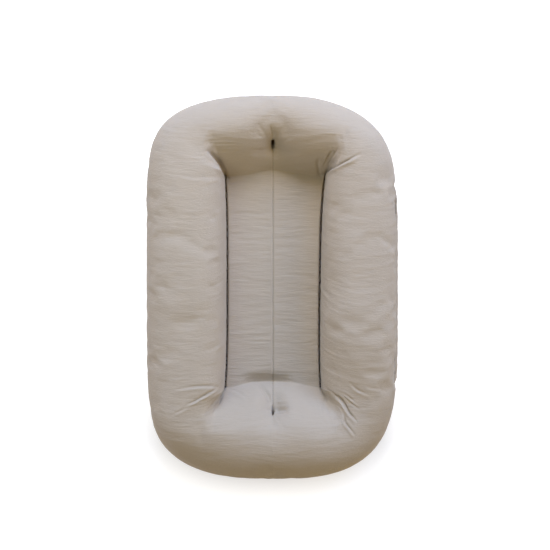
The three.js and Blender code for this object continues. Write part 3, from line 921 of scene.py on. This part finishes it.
folds_by_anchor = {
    "head_left": [
        ((325, 114, 128), (0.05, 0.22, 0.43), 1.5, 1.7, 1),
        ((248, 198, 188), (0.10, 0.39, 0.71), 0.35, 1.5, 1),
    ],
    "head_right": [
        ((36, 22, 24), (0.05, 0.35, 0.67), 1.1, 1.1, -1),
        ((75, 71, 66), (0.16, 0.28, 0.40), 0.5, 0.8, 1),
        ((57, 58, 58), (0.21, 0.33, 0.45), 0.35, 0.8, 1),
        ((264, 123, 105), (0.02, 0.12, 0.28), 0.9, 1.0, 0),
    ],
    "foot_left": [
        ((134, 163, 176), (0.15, 0.44, 0.84), 0.75, 0.9, 1),
        ((147, 187, 198), (0.13, 0.31, 0.61), 1.1, 0.8, 1),
        ((231, 228, 228), (0.15, 0.27, 0.37), 0.4, 0.7, 1),
        ((257, 253, 249), (0.12, 0.21, 0.30), 0.3, 0.7, 1),
        ((350, 348, 341), (0.10, 0.25, 0.43), 0.5, 0.9, -1),
        ((201, 202, 202), (0.65, 0.76, 0.87), 0.3, 0.9, 1),
    ],
    "foot_right": [
        ((2, 321, 319), (0.06, 0.38, 0.75), 1.4, 0.9, -1),
        ((308, 306, 307), (0.45, 0.69, 0.94), 0.9, 0.9, -1),
        ((19, 3, 359), (0.45, 0.59, 0.81), 0.6, 0.8, -1),
        ((8, 5, 4), (0.75, 0.88, 1.05), 0.4, 0.8, -1),
        ((347, 337, 335), (0.23, 0.44, 0.66), 0.4, 0.8, 1),
        ((5, 351, 343), (0.16, 0.35, 0.53), 0.3, 0.7, 1),
        ((234, 262, 276), (0.20, 0.33, 0.50), 0.2, 1.0, 1),
    ],
    "head_pinch": [
        ((132, 127, 126), (0.20, 0.34, 0.46), 0.4, 0.8, 0),
        ((133, 124, 121), (0.11, 0.24, 0.38), 0.25, 0.7, 0),
        ((143, 145, 146), (0.19, 0.27, 0.35), 0.3, 0.7, 0),
        ((93, 96, 99), (0.13, 0.24, 0.34), 0.4, 0.7, 0),
        ((60, 61, 62), (0.14, 0.25, 0.36), 0.35, 0.7, 0),
        ((16, 22, 22), (0.14, 0.24, 0.35), 0.3, 0.8, 0),
        ((199, 193, 189), (0.13, 0.25, 0.38), 0.3, 0.8, 0),
    ],
    "foot_pinch": [
        ((114, 115, 128), (0.10, 0.30, 0.52), 1.4, 1.6, 0),
        ((15, 7, 5), (0.00, 0.09, 0.26), 2.2, 2.4, 0),
        ((75, 34, 19), (0.07, 0.17, 0.31), 0.35, 0.7, 1),
        ((39, 13, 8), (0.02, 0.14, 0.30), 0.35, 0.7, 1),
        ((312, 343, 354), (0.05, 0.14, 0.26), 0.5, 0.7, 1),
        ((165, 170, 178), (0.03, 0.06, 0.11), 0.6, 0.5, 1),
        ((302, 304, 306), (0.13, 0.22, 0.32), 0.25, 0.8, -1),
    ],
}
folds = [Fold(anchor, *values) for anchor, rows in folds_by_anchor.items() for values in rows]


def fold_path(fold):
    """Points along a smooth curve through the fold's three points."""
    bearing = np.radians(fold.bearings)
    reach = fold_reach * np.array(fold.reach_shares)
    heading = np.stack([np.cos(bearing), np.sin(bearing)], axis=1)
    knots = np.array(fold_anchors[fold.anchor]) + heading * reach[:, None]
    share = np.linspace(0, 1, fold_steps)[:, None]
    middle = 2 * knots[1] - (knots[0] + knots[2]) / 2
    path = knots[0] * (1 - share) ** 2 + middle * 2 * share * (1 - share) + knots[2] * share**2
    return path, share[:, 0]


def fold_rise(points, fold, spread=1):
    """How far a fold lifts or sinks each point of the cloth."""
    path, share = fold_path(fold)
    depth = fold_depth * fold.depth_share
    width = fold_width * fold.width_share * spread
    rise = np.zeros(len(points))
    low, high = path.min(0) - width * fold_margin, path.max(0) + width * fold_margin
    close = np.all((points[:, :2] > low) & (points[:, :2] < high), axis=1)
    close &= points[:, 2] > sling_height - sling_thickness - seam_pull_right
    gaps = points[close, None, :2] - path[None]
    nearest = np.linalg.norm(gaps, axis=2).argmin(axis=1)
    heading = np.gradient(path, axis=0)[nearest]
    heading /= np.linalg.norm(heading, axis=1)[:, None]
    gap = gaps[np.arange(len(gaps)), nearest]
    aside = heading[:, 0] * gap[:, 1] - heading[:, 1] * gap[:, 0]
    past_end = np.abs((gap * heading).sum(axis=1))
    strength = np.sin(np.pi * (fold_start + (1 - fold_start) * share[nearest])) ** fold_fullness
    shape = -bell(aside, width)
    if fold.ridge:
        shape = shape + ridge_share * bell(aside * fold.ridge - ridge_offset * width, ridge_spread * width)
    rise[close] = depth * strength * shape * bell(past_end, 2 * width)
    return rise


# Slits in the pinches: end 0 is at the head, and end 1 at the foot


def slit_shape(points, end, spread=1, least_width=0):
    """1 at the middle of a pinch's narrow mouth, fading to 0 round it."""
    width, reach = (max(size[end] * spread, least_width) for size in (slit_width, slit_reach))
    return bell(points[:, 0], width) * bell(points[:, 1] - centre_ends[end], reach)


def slit_dip(points, spread=1, least_width=0):
    """How far the slits and the dimple round the head's slit sink the cloth."""
    dip = sum(slit_depth[end] * slit_shape(points, end, spread, least_width) for end in (0, 1))
    return dip + dimple_depth * bell(np.hypot(points[:, 0], points[:, 1] - centre_ends[0]), dimple_width)


# Wrinkles and crinkles, drawn from filtered noise with fixed seeds


def filtered_noise(seed, shape, spacing, scale):
    """Noise of unit spread on a wrapped grid, smoothed to the given scale along each axis."""
    noise = np.random.default_rng(seed).standard_normal(shape)
    spectrum = np.fft.fft2(noise)
    u = np.fft.fftfreq(shape[0], spacing[0])[:, None] * scale[0] * 2 * np.pi
    v = np.fft.fftfreq(shape[1], spacing[1])[None] * scale[1] * 2 * np.pi
    band = (u * u + v * v) * np.exp(-(u * u + v * v) / 2)
    field = np.fft.ifft2(spectrum * band).real
    return field / field.std()


def sampled(field, spacing, x, y):
    """A wrapped field's value at each place, between its grid points."""
    u, v = x / spacing[0], y / spacing[1]
    left, low = np.floor(u).astype(int), np.floor(v).astype(int)
    du, dv = u - left, v - low
    wide, high = field.shape
    value = 0
    for i, wu in ((0, 1 - du), (1, du)):
        for j, wv in ((0, 1 - dv), (1, dv)):
            value = value + wu * wv * field[(left + i) % wide, (low + j) % high]
    return value


def patchy(seed, scale, x, y):
    """Noise that changes slowly over the cloth."""
    spacing = (scale / wave_points, scale / wave_points)
    return sampled(filtered_noise(seed, patch_points, spacing, (scale, scale)), spacing, x, y)


def crinkle(points, seed, across, along):
    """Crinkles of the gauze, long across the lounger and short along it."""
    spacing = (across / wave_points, along / wave_points)
    field = filtered_noise(seed, crinkle_points, spacing, (across, along))
    x, y, _ = parts(points)
    waver = along * patchy(seed + 1, across * 2, x, y)
    return sampled(field, spacing, x, y + waver + crinkle_slant * points[:, 2])


def rim_wrinkles(points):
    """Short wrinkles that run in from the rim on the long sides."""
    x, y, _ = parts(points)
    outer = beyond(np.abs(x), rim_wrinkle_start, rim_wrinkle_fade)
    outer = outer * (1 - rim_edge_loss * beyond(np.abs(x), rim_edge_start, rim_edge_fade))
    patches = rim_patch_level + rim_patch_swing * patchy(rim_patch_seed, rim_patch_scale, x, y)
    patches = np.clip(patches, 0, rim_patch_most)
    middle = bell(y / half_length, rim_wrinkle_reach) ** 2
    wrinkles = crinkle(points, rim_wrinkle_seed, rim_wrinkle_across, rim_wrinkle_along)
    return outer * patches * middle * wrinkles


def zip_puckers(points):
    """Close puckers where the cloth is gathered to the zip."""
    x, y, z = parts(points)
    beside = beyond(x, pucker_start, pucker_fade) * smooth((crest_height - z) / (crest_height - rim_height))
    off_edge = beyond(np.abs(z - rim_height), slot_half, slot_half)
    return beside * off_edge * in_zip_span(y) * crinkle(points, pucker_seed, pucker_across, pucker_along)


def gauze_rise(points, seeds, strength, pucker_share):
    """Crinkles, ripples, wrinkles and puckers of a cover cloth."""
    rise = crinkle_rise * strength * crinkle(points, seeds[0], crinkle_across, crinkle_along)
    rise += ripple_rise * strength * crinkle(points, seeds[1], ripple_across, ripple_along)
    rise += rim_wrinkle_rise * rim_wrinkles(points)
    return rise + pucker_share * pucker_rise * zip_puckers(points)


# Node group and materials


def noise(tree, scale, detail, roughness=0.5, **more):
    inputs = {"Scale": scale, "Detail": detail, "Roughness": roughness, **more}
    return add_node(tree, "TexNoise", inputs).outputs["Fac"]


def object_place(tree):
    return add_node(tree, "TexCoord").outputs["Object"]


def stretched_noise(tree, scales, detail, roughness=0.5):
    """Noise in the object's own coordinates, with a scale along each axis."""
    mapping = add_node(tree, "Mapping", {"Vector": object_place(tree), "Scale": scales})
    return noise(tree, 1, detail, roughness, Vector=mapping.outputs["Vector"])


def wave_threads(tree, axis, scale):
    inputs = {"Vector": object_place(tree), "Scale": scale / 2, "Distortion": woven_waver, "Detail": 1}
    return add_node(tree, "TexWave", inputs, bands_direction=axis).outputs["Fac"]


def half_sum(tree, first, second):
    return maths(tree, "MULTIPLY", maths(tree, "ADD", first, second), 0.5)


def make_gauze_group():
    """Height and colour masks of a crinkled cotton gauze."""
    group = bpy.data.node_groups.new("crinkled_gauze", "ShaderNodeTree")
    group.interface.new_socket("Crinkle", in_out="INPUT", socket_type="NodeSocketFloat")
    for label in ("Height", "Mottle", "Slub"):
        group.interface.new_socket(label, in_out="OUTPUT", socket_type="NodeSocketFloat")
    given, made = group.nodes.new("NodeGroupInput"), group.nodes.new("NodeGroupOutput")
    fine = maths(group, "MULTIPLY", stretched_noise(group, *gauze_fine), gauze_fine_share)
    folded = maths(group, "ADD", stretched_noise(group, *gauze_crinkles), fine)
    folded = maths(group, "MULTIPLY", folded, given.outputs["Crinkle"])
    warp, weft = wave_threads(group, "X", gauze_warp_scale), wave_threads(group, "Y", gauze_weft_scale)
    threads = maths(group, "MULTIPLY", maths(group, "ADD", warp, weft), gauze_thread_share)
    masks = {
        "Height": maths(group, "ADD", folded, threads),
        "Mottle": stretched_noise(group, *gauze_mottle),
        "Slub": stretched_noise(group, *gauze_slubs),
    }
    set_inputs(group, made, masks)
    return group


def new_material(name):
    """A material with its node tree and its row of the finishes."""
    material = bpy.data.materials.new(name)
    material.use_nodes = True
    return material, material.node_tree, finishes[name]


def tinted(tree, look, mask):
    return mixed(tree, mask, look.dark, look.light)


def finish_shader(tree, look, colour, height, more=None):
    """Gives the shader its colour, its roughness, a bump from the height, and any more values."""
    bump = {"Height": height, "Strength": look.bump_strength, "Distance": look.bump_height}
    normal = add_node(tree, "Bump", bump).outputs["Normal"]
    shader = tree.nodes["Principled BSDF"]
    set_inputs(tree, shader, {"Base Color": colour, "Roughness": look.roughness, "Normal": normal})
    set_inputs(tree, shader, more or {})


def cloth_material(name, gauze, crinkle_share):
    """Crinkled gauze, with painted shade darkening it where the mesh marks a seam's crevice or a slit."""
    material, tree, look = new_material(name)
    weave = add_node(tree, "Group", {"Crinkle": crinkle_share}, node_tree=gauze).outputs
    tint = tinted(tree, look, half_sum(tree, weave["Mottle"], weave["Slub"]))
    # Painted shade: the mesh's mask mixes the colour towards near-black brown in the crevices and slits
    tucked = add_node(tree, "Attribute", attribute_name="painted_shade_share").outputs["Fac"]
    colour = mixed(tree, tucked, tint, painted_shade_colour)
    finish_shader(tree, look, colour, weave["Height"], cloth_softness)
    return material


def thread_material():
    material, tree, look = new_material("spun_thread")
    twist = noise(tree, *thread_twist)
    finish_shader(tree, look, tinted(tree, look, twist), twist)
    return material


def fibre_material():
    material, tree, look = new_material("loose_fibre")
    strands = stretched_noise(tree, *fibre_strands)
    finish_shader(tree, look, tinted(tree, look, strands), strands)
    return material


def tape_material():
    material, tree, look = new_material("woven_zip_tape")
    rib, cross = wave_threads(tree, "Y", tape_rib_scale), wave_threads(tree, "Z", tape_cross_scale)
    weave = half_sum(tree, rib, cross)
    finish_shader(tree, look, tinted(tree, look, weave), weave)
    return material


def tooth_material():
    material, tree, look = new_material("moulded_zip_teeth")
    tint = tinted(tree, look, noise(tree, *tooth_mottle))
    finish_shader(tree, look, tint, noise(tree, *tooth_grain))
    return material


def metal_material():
    """Enamelled metal under a clear coat, a little rougher in patches."""
    material, tree, look = new_material("enamelled_zip_metal")
    mottle = noise(tree, *metal_mottle)
    rough = maths(tree, "MULTIPLY", mottle, metal_roughness_swing)
    rough = maths(tree, "ADD", rough, metal_least_roughness)
    more = {"Roughness": rough, **metal_coat}
    finish_shader(tree, look, tinted(tree, look, mottle), noise(tree, *metal_grain), more)
    return material


# Cloth pieces


def make_grid(side_rows, centre_shares, open_columns, fan_steps):
    """Places along and across the sling, closer together at the seams, and the rays from its edge."""
    half = [*centre_shares, *np.linspace(*open_shares, open_columns), *side_seam_shares]
    end_shares = np.array([-share for share in reversed(half)] + [0] + half)
    side_shares = np.linspace(0, 1, side_rows)
    return side_shares, end_shares, make_rays(side_shares, end_shares, fan_steps)


def top_rows(rays, outer_shares, inner_shares, lift):
    """Rows from the rim over the crest to the edge of the sling, drawn down at the pinches."""
    outer, inner = outer_rows(rays, np.array(outer_shares), lift), inner_rows(rays, np.array(inner_shares))
    rings = np.concatenate([outer, inner], axis=1)
    rings[..., 2] -= pinch_dip(rings) * rays.weight[:, None]
    return rings


def sewn_cloth(name, grid, rings, sling_level, side, material, layer):
    """An upper (1) or a lower (-1) cloth with its hem and its sling, drawn in as its layer is."""
    side_shares, end_shares, rays = grid
    pull_cloth(rings, layer)
    rings = np.concatenate([hem_row(rays, rings[:, 0], side)[:, None], rings], axis=1)
    rings[..., 2] = np.maximum(rings[..., 2], 0)
    sling = sling_grid(side_shares, end_shares, sling_level)
    pull_cloth(sling, layer)
    return add_piece(name, *ring_and_sling(rings, sling, rays, side), material)


def upper_layer(name, grid, material):
    """The cloth from the rim over the crest and down to the sling, and the sling itself."""
    rays = grid[-1]
    outer_count, inner_count, open_share, layer = cloths[name]
    outer_shares = [*near_edge_shares, *np.linspace(upper_edge_end, 1, outer_count)]
    inner_shares = [*np.linspace(0, waist_share, inner_count)[1:], *near_seam_shares]
    rings = top_rows(rays, outer_shares, inner_shares, slot_half * zip_share(rays) * open_share)
    return sewn_cloth(name, grid, rings, sling_height, 1, material, layer)


def lower_layer(name, grid, material):
    """The cloth from the rim down to the floor, and up to the underside of the sling."""
    rays = grid[-1]
    outer_count, inner_count, open_share, layer = cloths[name]
    outer_shares = np.array([*near_edge_shares, *np.linspace(lower_edge_end, 1, outer_count)])
    inner_shares = np.array([*np.linspace(0, lower_seam_shares[0], inner_count), lower_seam_shares[1]])
    lift = slot_half * zip_share(rays) * open_share
    rings = np.concatenate(base_rows(rays, outer_shares, inner_shares, lift), axis=1)
    return sewn_cloth(name, grid, rings, sling_height - sling_thickness, -1, material, layer)


def simulate(piece, held):
    """Places of the cloth after the stuffing has pressed it out from where it is held."""
    group = piece.vertex_groups.new(name="held")
    for number, weight in enumerate(held):
        group.add([number], float(weight), "REPLACE")
    cloth = piece.modifiers.new("cloth", "CLOTH")
    cloth.collision_settings.use_collision = False
    cloth.settings.vertex_group_mass = group.name
    cloth.settings.effector_weights.gravity = 0
    for label, value in cloth_settings.items():
        setattr(cloth.settings, label, value)
    for number in range(1, settle_frames + 1):
        bpy.context.scene.frame_set(number)
    settled = coordinates(piece.evaluated_get(bpy.context.evaluated_depsgraph_get()).data)
    piece.modifiers.clear()
    piece.vertex_groups.clear()
    bpy.context.scene.frame_set(1)
    return settled


def between_pinches(y):
    """1 between the slits at the ends of the centre seam, and 0 past their middles."""
    from_head = smooth((centre_ends[0] - y) / slit_reach[0])
    return from_head * smooth((y - centre_ends[1]) / slit_reach[1])


def where_held(points):
    """1 where the rim, the sling and the centre seam hold the upper cloth, and little where it is free."""
    x, y, z = parts(points)
    rim = 1 - beyond(z, rim_height, rim_hold_height)
    sling = (np.abs(x) < half_sling + seam_inset) & (y < sling_head) & (y > sling_foot)
    centre = bell(x, centre_hold_width) * between_pinches(y)
    return np.maximum.reduce([rim, sling, centre, np.full(len(points), settle_hold)])


def settle():
    """Settles an evenly spaced copy of the upper cloth, and gives its places and how far each moved."""
    rows, columns, fan_steps = settling_grid
    side_shares, end_shares = np.linspace(0, 1, rows), np.linspace(-1, 1, columns)
    grid = side_shares, end_shares, make_rays(side_shares, end_shares, fan_steps)
    piece = upper_layer("settling_cloth", grid, None)
    before = coordinates(piece.data)
    moved = np.zeros_like(before)
    moved = simulate(piece, where_held(before)) - before
    reach = np.linalg.norm(moved, axis=1, keepdims=True)
    moved *= settle_cap / np.maximum(reach, settle_cap)
    bpy.data.meshes.remove(piece.data)
    tree = KDTree(len(before))
    for number, point in enumerate(before):
        tree.insert(point, number)
    tree.balance()
    return tree, moved


def follow(piece, settled):
    """Moves each point of a layer as the settled cloth near it moved."""
    tree, moved = settled
    if not moved.any():
        return
    points = coordinates(piece.data)
    for number, point in enumerate(points):
        near = tree.find_n(point, settle_neighbours)
        weights = np.array([1 / (distance**2 + settle_cap**2) for _, _, distance in near])
        steps = moved[[place for _, place, _ in near]]
        points[number] += (steps * weights[:, None]).sum(axis=0) / weights.sum()
    set_coordinates(piece.data, points)


def swelling(points):
    """Soft rises and hollows of the stuffing."""
    x, y, z = parts(points)
    stuffed = smooth((z - waist_height) / (crest_height - waist_height))
    rise = swell_rise * np.clip(patchy(swell_seed, swell_scale, x, y), -2, 1)
    hollow = bell(x - hollow_place[0], hollow_reach[0]) * bell(y - hollow_place[1], hollow_reach[1])
    return stuffed * (rise - hollow_depth * hollow)


def crinkle_strength(points):
    """The gauze is crinkled most on the sling and its ends, and least on the outer slopes of the ends."""
    x, y = np.abs(points[:, 0]), np.abs(points[:, 1])
    middle = 1 - beyond(x, half_sling, crinkle_middle_fade)
    outer = beyond(y / half_length, crinkle_outer_start, crinkle_outer_fade)
    return (1 + crinkle_middle_gain * middle) * (1 - outer) + crinkle_outer_share * outer


def cover_rise(points):
    """Folds, slits, the centre seam's groove, the gauze and the stuffing's swell in the upper cloth."""
    x, y, z = parts(points)
    groove = between_pinches(y) * (z < crest_height)
    calm = 1 - seam_calm_share * bell(x, seam_calm_width) * groove
    rise = sum(fold_rise(points, fold) for fold in folds) - slit_dip(points)
    rise -= centre_groove * bell(x, centre_groove_width) * groove
    return rise + gauze_rise(points, upper_seeds, calm * crinkle_strength(points), 1) + swelling(points)


def base_rise(points):
    """The gauze of the lower cloth, which stays flat where it rests."""
    off_floor = smooth(points[:, 2] / (rim_height / 4))
    return gauze_rise(points, lower_seeds, 1, lower_pucker_share) * off_floor


def bulk_dip(points):
    """How far the folds and slits of the cover press into the layers under it."""
    pressed = sum(np.maximum(0, -fold_rise(points, fold, lining_spread)) for fold in folds)
    slit = lining_slit_share * slit_dip(points, lining_spread, lining_slit_width)
    return np.minimum(pressed, 2 * fold_depth) + slit - swelling(points)


def lining_rise(points):
    """The upper lining lies under the cover, close to it on the sling."""
    off_sling = smooth((points[:, 2] - sling_height) / (waist_height - sling_height))
    gap = sling_cloth_gap + (cloth_gap - sling_cloth_gap) * off_sling
    return -(gap + centre_groove * bell(points[:, 0], lining_groove_width) + bulk_dip(points))


def mark_painted_shade(mesh):
    """Marks a side seam's crevice and the slits, where painted shade makes the cloth darker."""
    points = coordinates(mesh)
    x, y, z = parts(points)
    beside = bell(np.maximum(0, np.abs(np.abs(x) - half_sling) - seam_inset), seam_inset)
    crevice = beside * (y < sling_head) * (y > sling_foot) * smooth((sling_height - z) / painted_shade_depth)
    mouth = sum(slit_shape(points, end) for end in (0, 1))
    # Painted shade: full deep in a crevice, and in the middle of a slit's mouth
    share = np.maximum(crevice, smooth(mouth / painted_shade_mouth_share - 1))
    mesh.attributes.new("painted_shade_share", "FLOAT", "POINT").data.foreach_set("value", share)


def declare(piece, slot, *nodes, fill=stuffing_fill):
    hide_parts(*nodes)
    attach(piece, "lounger")


def make_cover(gauze):
    """The upper and the lower cloth of the cover, and how the settled cloth moved."""
    grid = make_grid(*fine_grid)
    cloth = cloth_material("cotton_gauze", gauze, cover_crinkle)
    upper = upper_layer("cover_upper", grid, cloth)
    settled = settle()
    follow(upper, settled)
    refine(upper)
    # Painted shade is marked on the cloth before its folds and slits move it
    mark_painted_shade(upper.data)
    displace(upper, cover_rise)
    declare(upper, "cover_cloth", "cover_top")
    lower = lower_layer("cover_lower", grid, cloth)
    refine(lower)
    displace(lower, base_rise)
    declare(lower, "cover_cloth", "cover_base")
    return upper, lower, settled


def make_insert(grid, gauze, settled):
    """The two cloths of the insert, which has no opening."""
    cloth = cloth_material("plain_lining", gauze, lining_crinkle)
    upper = upper_layer("insert_upper", grid, cloth)
    refine(upper)
    displace(upper, lining_rise)
    follow(upper, settled)
    declare(upper, "insert_cloth", "insert_top")
    lower = lower_layer("insert_lower", grid, cloth)
    shrink(lower, sling_cloth_gap)
    refine(lower)
    declare(lower, "insert_cloth", "insert_base")


def make_fibre_ring(rays, settled):
    """The stuffed ring inside the insert: one closed body round the sling."""
    flat = np.zeros(len(rays.run))
    outer_shares = np.linspace(0, 1, fibre_rows)
    over = top_rows(rays, outer_shares, np.linspace(0, waist_share, fibre_rows)[1:], flat)
    over[..., 2] -= bulk_dip(over.reshape(-1, 3)).reshape(over.shape[:2])
    floor_shares = np.linspace(0, 1, fibre_floor_rows)[1:]
    under, rise = base_rows(rays, floor_shares, np.linspace(0, fibre_inner_share, fibre_inner_rows), flat)
    rings = np.concatenate([over, rise[:, ::-1], under[:, ::-1]], axis=1)
    pull_cloth(rings, fibre_layer)
    count, rows = rings.shape[:2]
    index = [[ray * rows + row for row in range(rows)] + [ray * rows] for ray in range(count)]
    piece = add_piece("fibre_ring", rings.reshape(-1, 3), ring_faces(index), fibre_material())
    shrink(piece, fill_gap)
    follow(piece, settled)
    refine(piece)
    declare(piece, "fibre", "fibre_fill")


# Stitching


def arch(share, start):
    """A sine arch over shares 0 to 1, cut off at the given start and as far before its end."""
    return math.sin(math.pi * (start + (1 - 2 * start) * share))


def stitch_mesh(paths):
    """Rounded stitches along short paths, as one mesh."""
    vertices, faces = [], []
    for path in paths:
        first, last = len(vertices), len(path) - 1
        for step, point in enumerate(path):
            ahead = path[min(step + 1, last)] - path[max(step - 1, 0)]
            ahead.normalize()
            aside = ahead.orthogonal().normalized()
            above = ahead.cross(aside)
            full = arch(step / last, stitch_tip_start) ** stitch_fullness
            girth = thread_radius * (stitch_tip_share + (1 - stitch_tip_share) * full)
            for side in range(thread_sides):
                angle = 2 * math.pi * side / thread_sides
                vertices.append(point + girth * (math.cos(angle) * aside + math.sin(angle) * above))
        for step in range(last):
            row = first + step * thread_sides
            for side in range(thread_sides):
                here, beside = row + side, row + (side + 1) % thread_sides
                faces.append([here, beside, beside + thread_sides, here + thread_sides])
        faces.append([first + side for side in reversed(range(thread_sides))])
        faces.append([first + last * thread_sides + side for side in range(thread_sides)])
    return vertices, faces


def along_seam(place, start, end):
    """Stitches from start to end, at the places and with the outward directions that place() gives."""
    paths = []
    for number in range(int((end - start) / stitch_pitch)):
        near = start + number * stitch_pitch
        found = [place(near + stitch_length * share) for share in stitch_shares]
        if None in found:
            continue
        lifts = [thread_radius * arch(share, stitch_lift_start) for share in stitch_shares]
        paths.append([point + out * lift for (point, out), lift in zip(found, lifts)])
    return paths


def add_stitches(name, paths, material, node=None):
    piece = add_piece(name, *stitch_mesh(paths), material)
    if node:
        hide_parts(node)
    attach(piece, "lounger")


def on_cloth(cloth, start, direction):
    """Where a straight line meets the cloth, and the cloth's outward direction there."""
    hit, normal, _, _ = cloth.ray_cast(Vector(start), Vector(direction))
    return (hit, normal) if hit else None


def surface_of(piece):
    return BVHTree.FromObject(piece, bpy.context.evaluated_depsgraph_get())


def make_sling_stitches(upper, material):
    cloth = surface_of(upper)
    up, down = Vector((0, 0, 1)), Vector((0, 0, -1))

    def at_side(sign):
        def place(y):
            line = np.array([[sign * (half_sling - seam_inset), y, sling_height]])
            lean_right_seam(line)
            found = on_cloth(cloth, (float(line[0, 0]), y, 0), up)
            return (found[0], up) if found else None
        return place

    def at_centre(y):
        return on_cloth(cloth, (0, y, 2 * crest_height), down)

    for side, sign in (("left", -1), ("right", 1)):
        paths = along_seam(at_side(sign), sling_foot + seam_pull_end, sling_head - seam_pull_end)
        add_stitches("side_stitches_" + side, paths, material, "side_seam_" + side)
    head, foot = centre_ends
    paths = along_seam(at_centre, foot + slit_reach[1], head - slit_reach[0])
    add_stitches("centre_stitches", paths, material, "centre_seam")
    for end, y in (("head", head), ("foot", foot)):
        paths = tack_paths(at_centre(y)[0])
        add_stitches(end + "_tack_threads", paths, material, end + "_tack")


def tack_paths(middle):
    """Threads wound across a slit that hold its pinch together."""
    paths = []
    for turn in tack_turns:
        path = []
        for share in np.linspace(0, 1, tack_steps):
            step = (tack_reach * (2 * share - 1), tack_slant * turn * share, tack_lift * arch(share, 0))
            path.append(middle + Vector((0, turn * tack_spread, 0)) + Vector(step))
        paths.append(path)
    return paths


def make_zip_topstitch(upper, lower, material):
    """A row of stitches along each edge of the cover beside the zip."""
    for name, piece, side in (("upper", upper, 1), ("lower", lower, -1)):
        cloth = surface_of(piece)
        z = rim_height + side * (slot_half + topstitch_inset)

        def place(y):
            return on_cloth(cloth, (2 * half_width, y, z), (-1, 0, 0))

        add_stitches("zip_topstitch_" + name, along_seam(place, zip_foot_end, zip_head_end), material)


# Zip pieces that keep their shape from the frame


def finish_node(name, material, edge=0):
    piece = bpy.data.objects[name]
    piece.data.materials.clear()
    piece.data.materials.append(material)
    if edge:
        bevel = piece.modifiers.new("softened_edges", "BEVEL")
        bevel.width = edge
        bevel.segments = 2
        bevel.limit_method = "ANGLE"
        bevel.angle_limit = softened_angle


def finish_zip():
    tape, tooth, metal = tape_material(), tooth_material(), metal_material()
    for side in ("upper", "lower"):
        finish_node("zip_tape_" + side, tape)
        finish_node("zip_teeth_" + side, tooth, teeth_edge)
        finish_node("zip_stop_" + side, metal, stop_edge)
    for name in ("zip_end_box", "zip_slider", "zip_pull"):
        finish_node(name, metal, metal_edge)


def main():
    add_camera()
    for name, values in lamps.items():
        add_lamp(name, *values)
    set_world()
    add_floor()
    bpy.context.scene.view_settings.view_transform = "Standard"
    gauze = make_gauze_group()
    upper, lower, settled = make_cover(gauze)
    plain_grid = make_grid(*lining_grid)
    make_insert(plain_grid, gauze, settled)
    make_fibre_ring(plain_grid[-1], settled)
    thread = thread_material()
    make_sling_stitches(upper, thread)
    make_zip_topstitch(upper, lower, thread)
    finish_zip()


main()
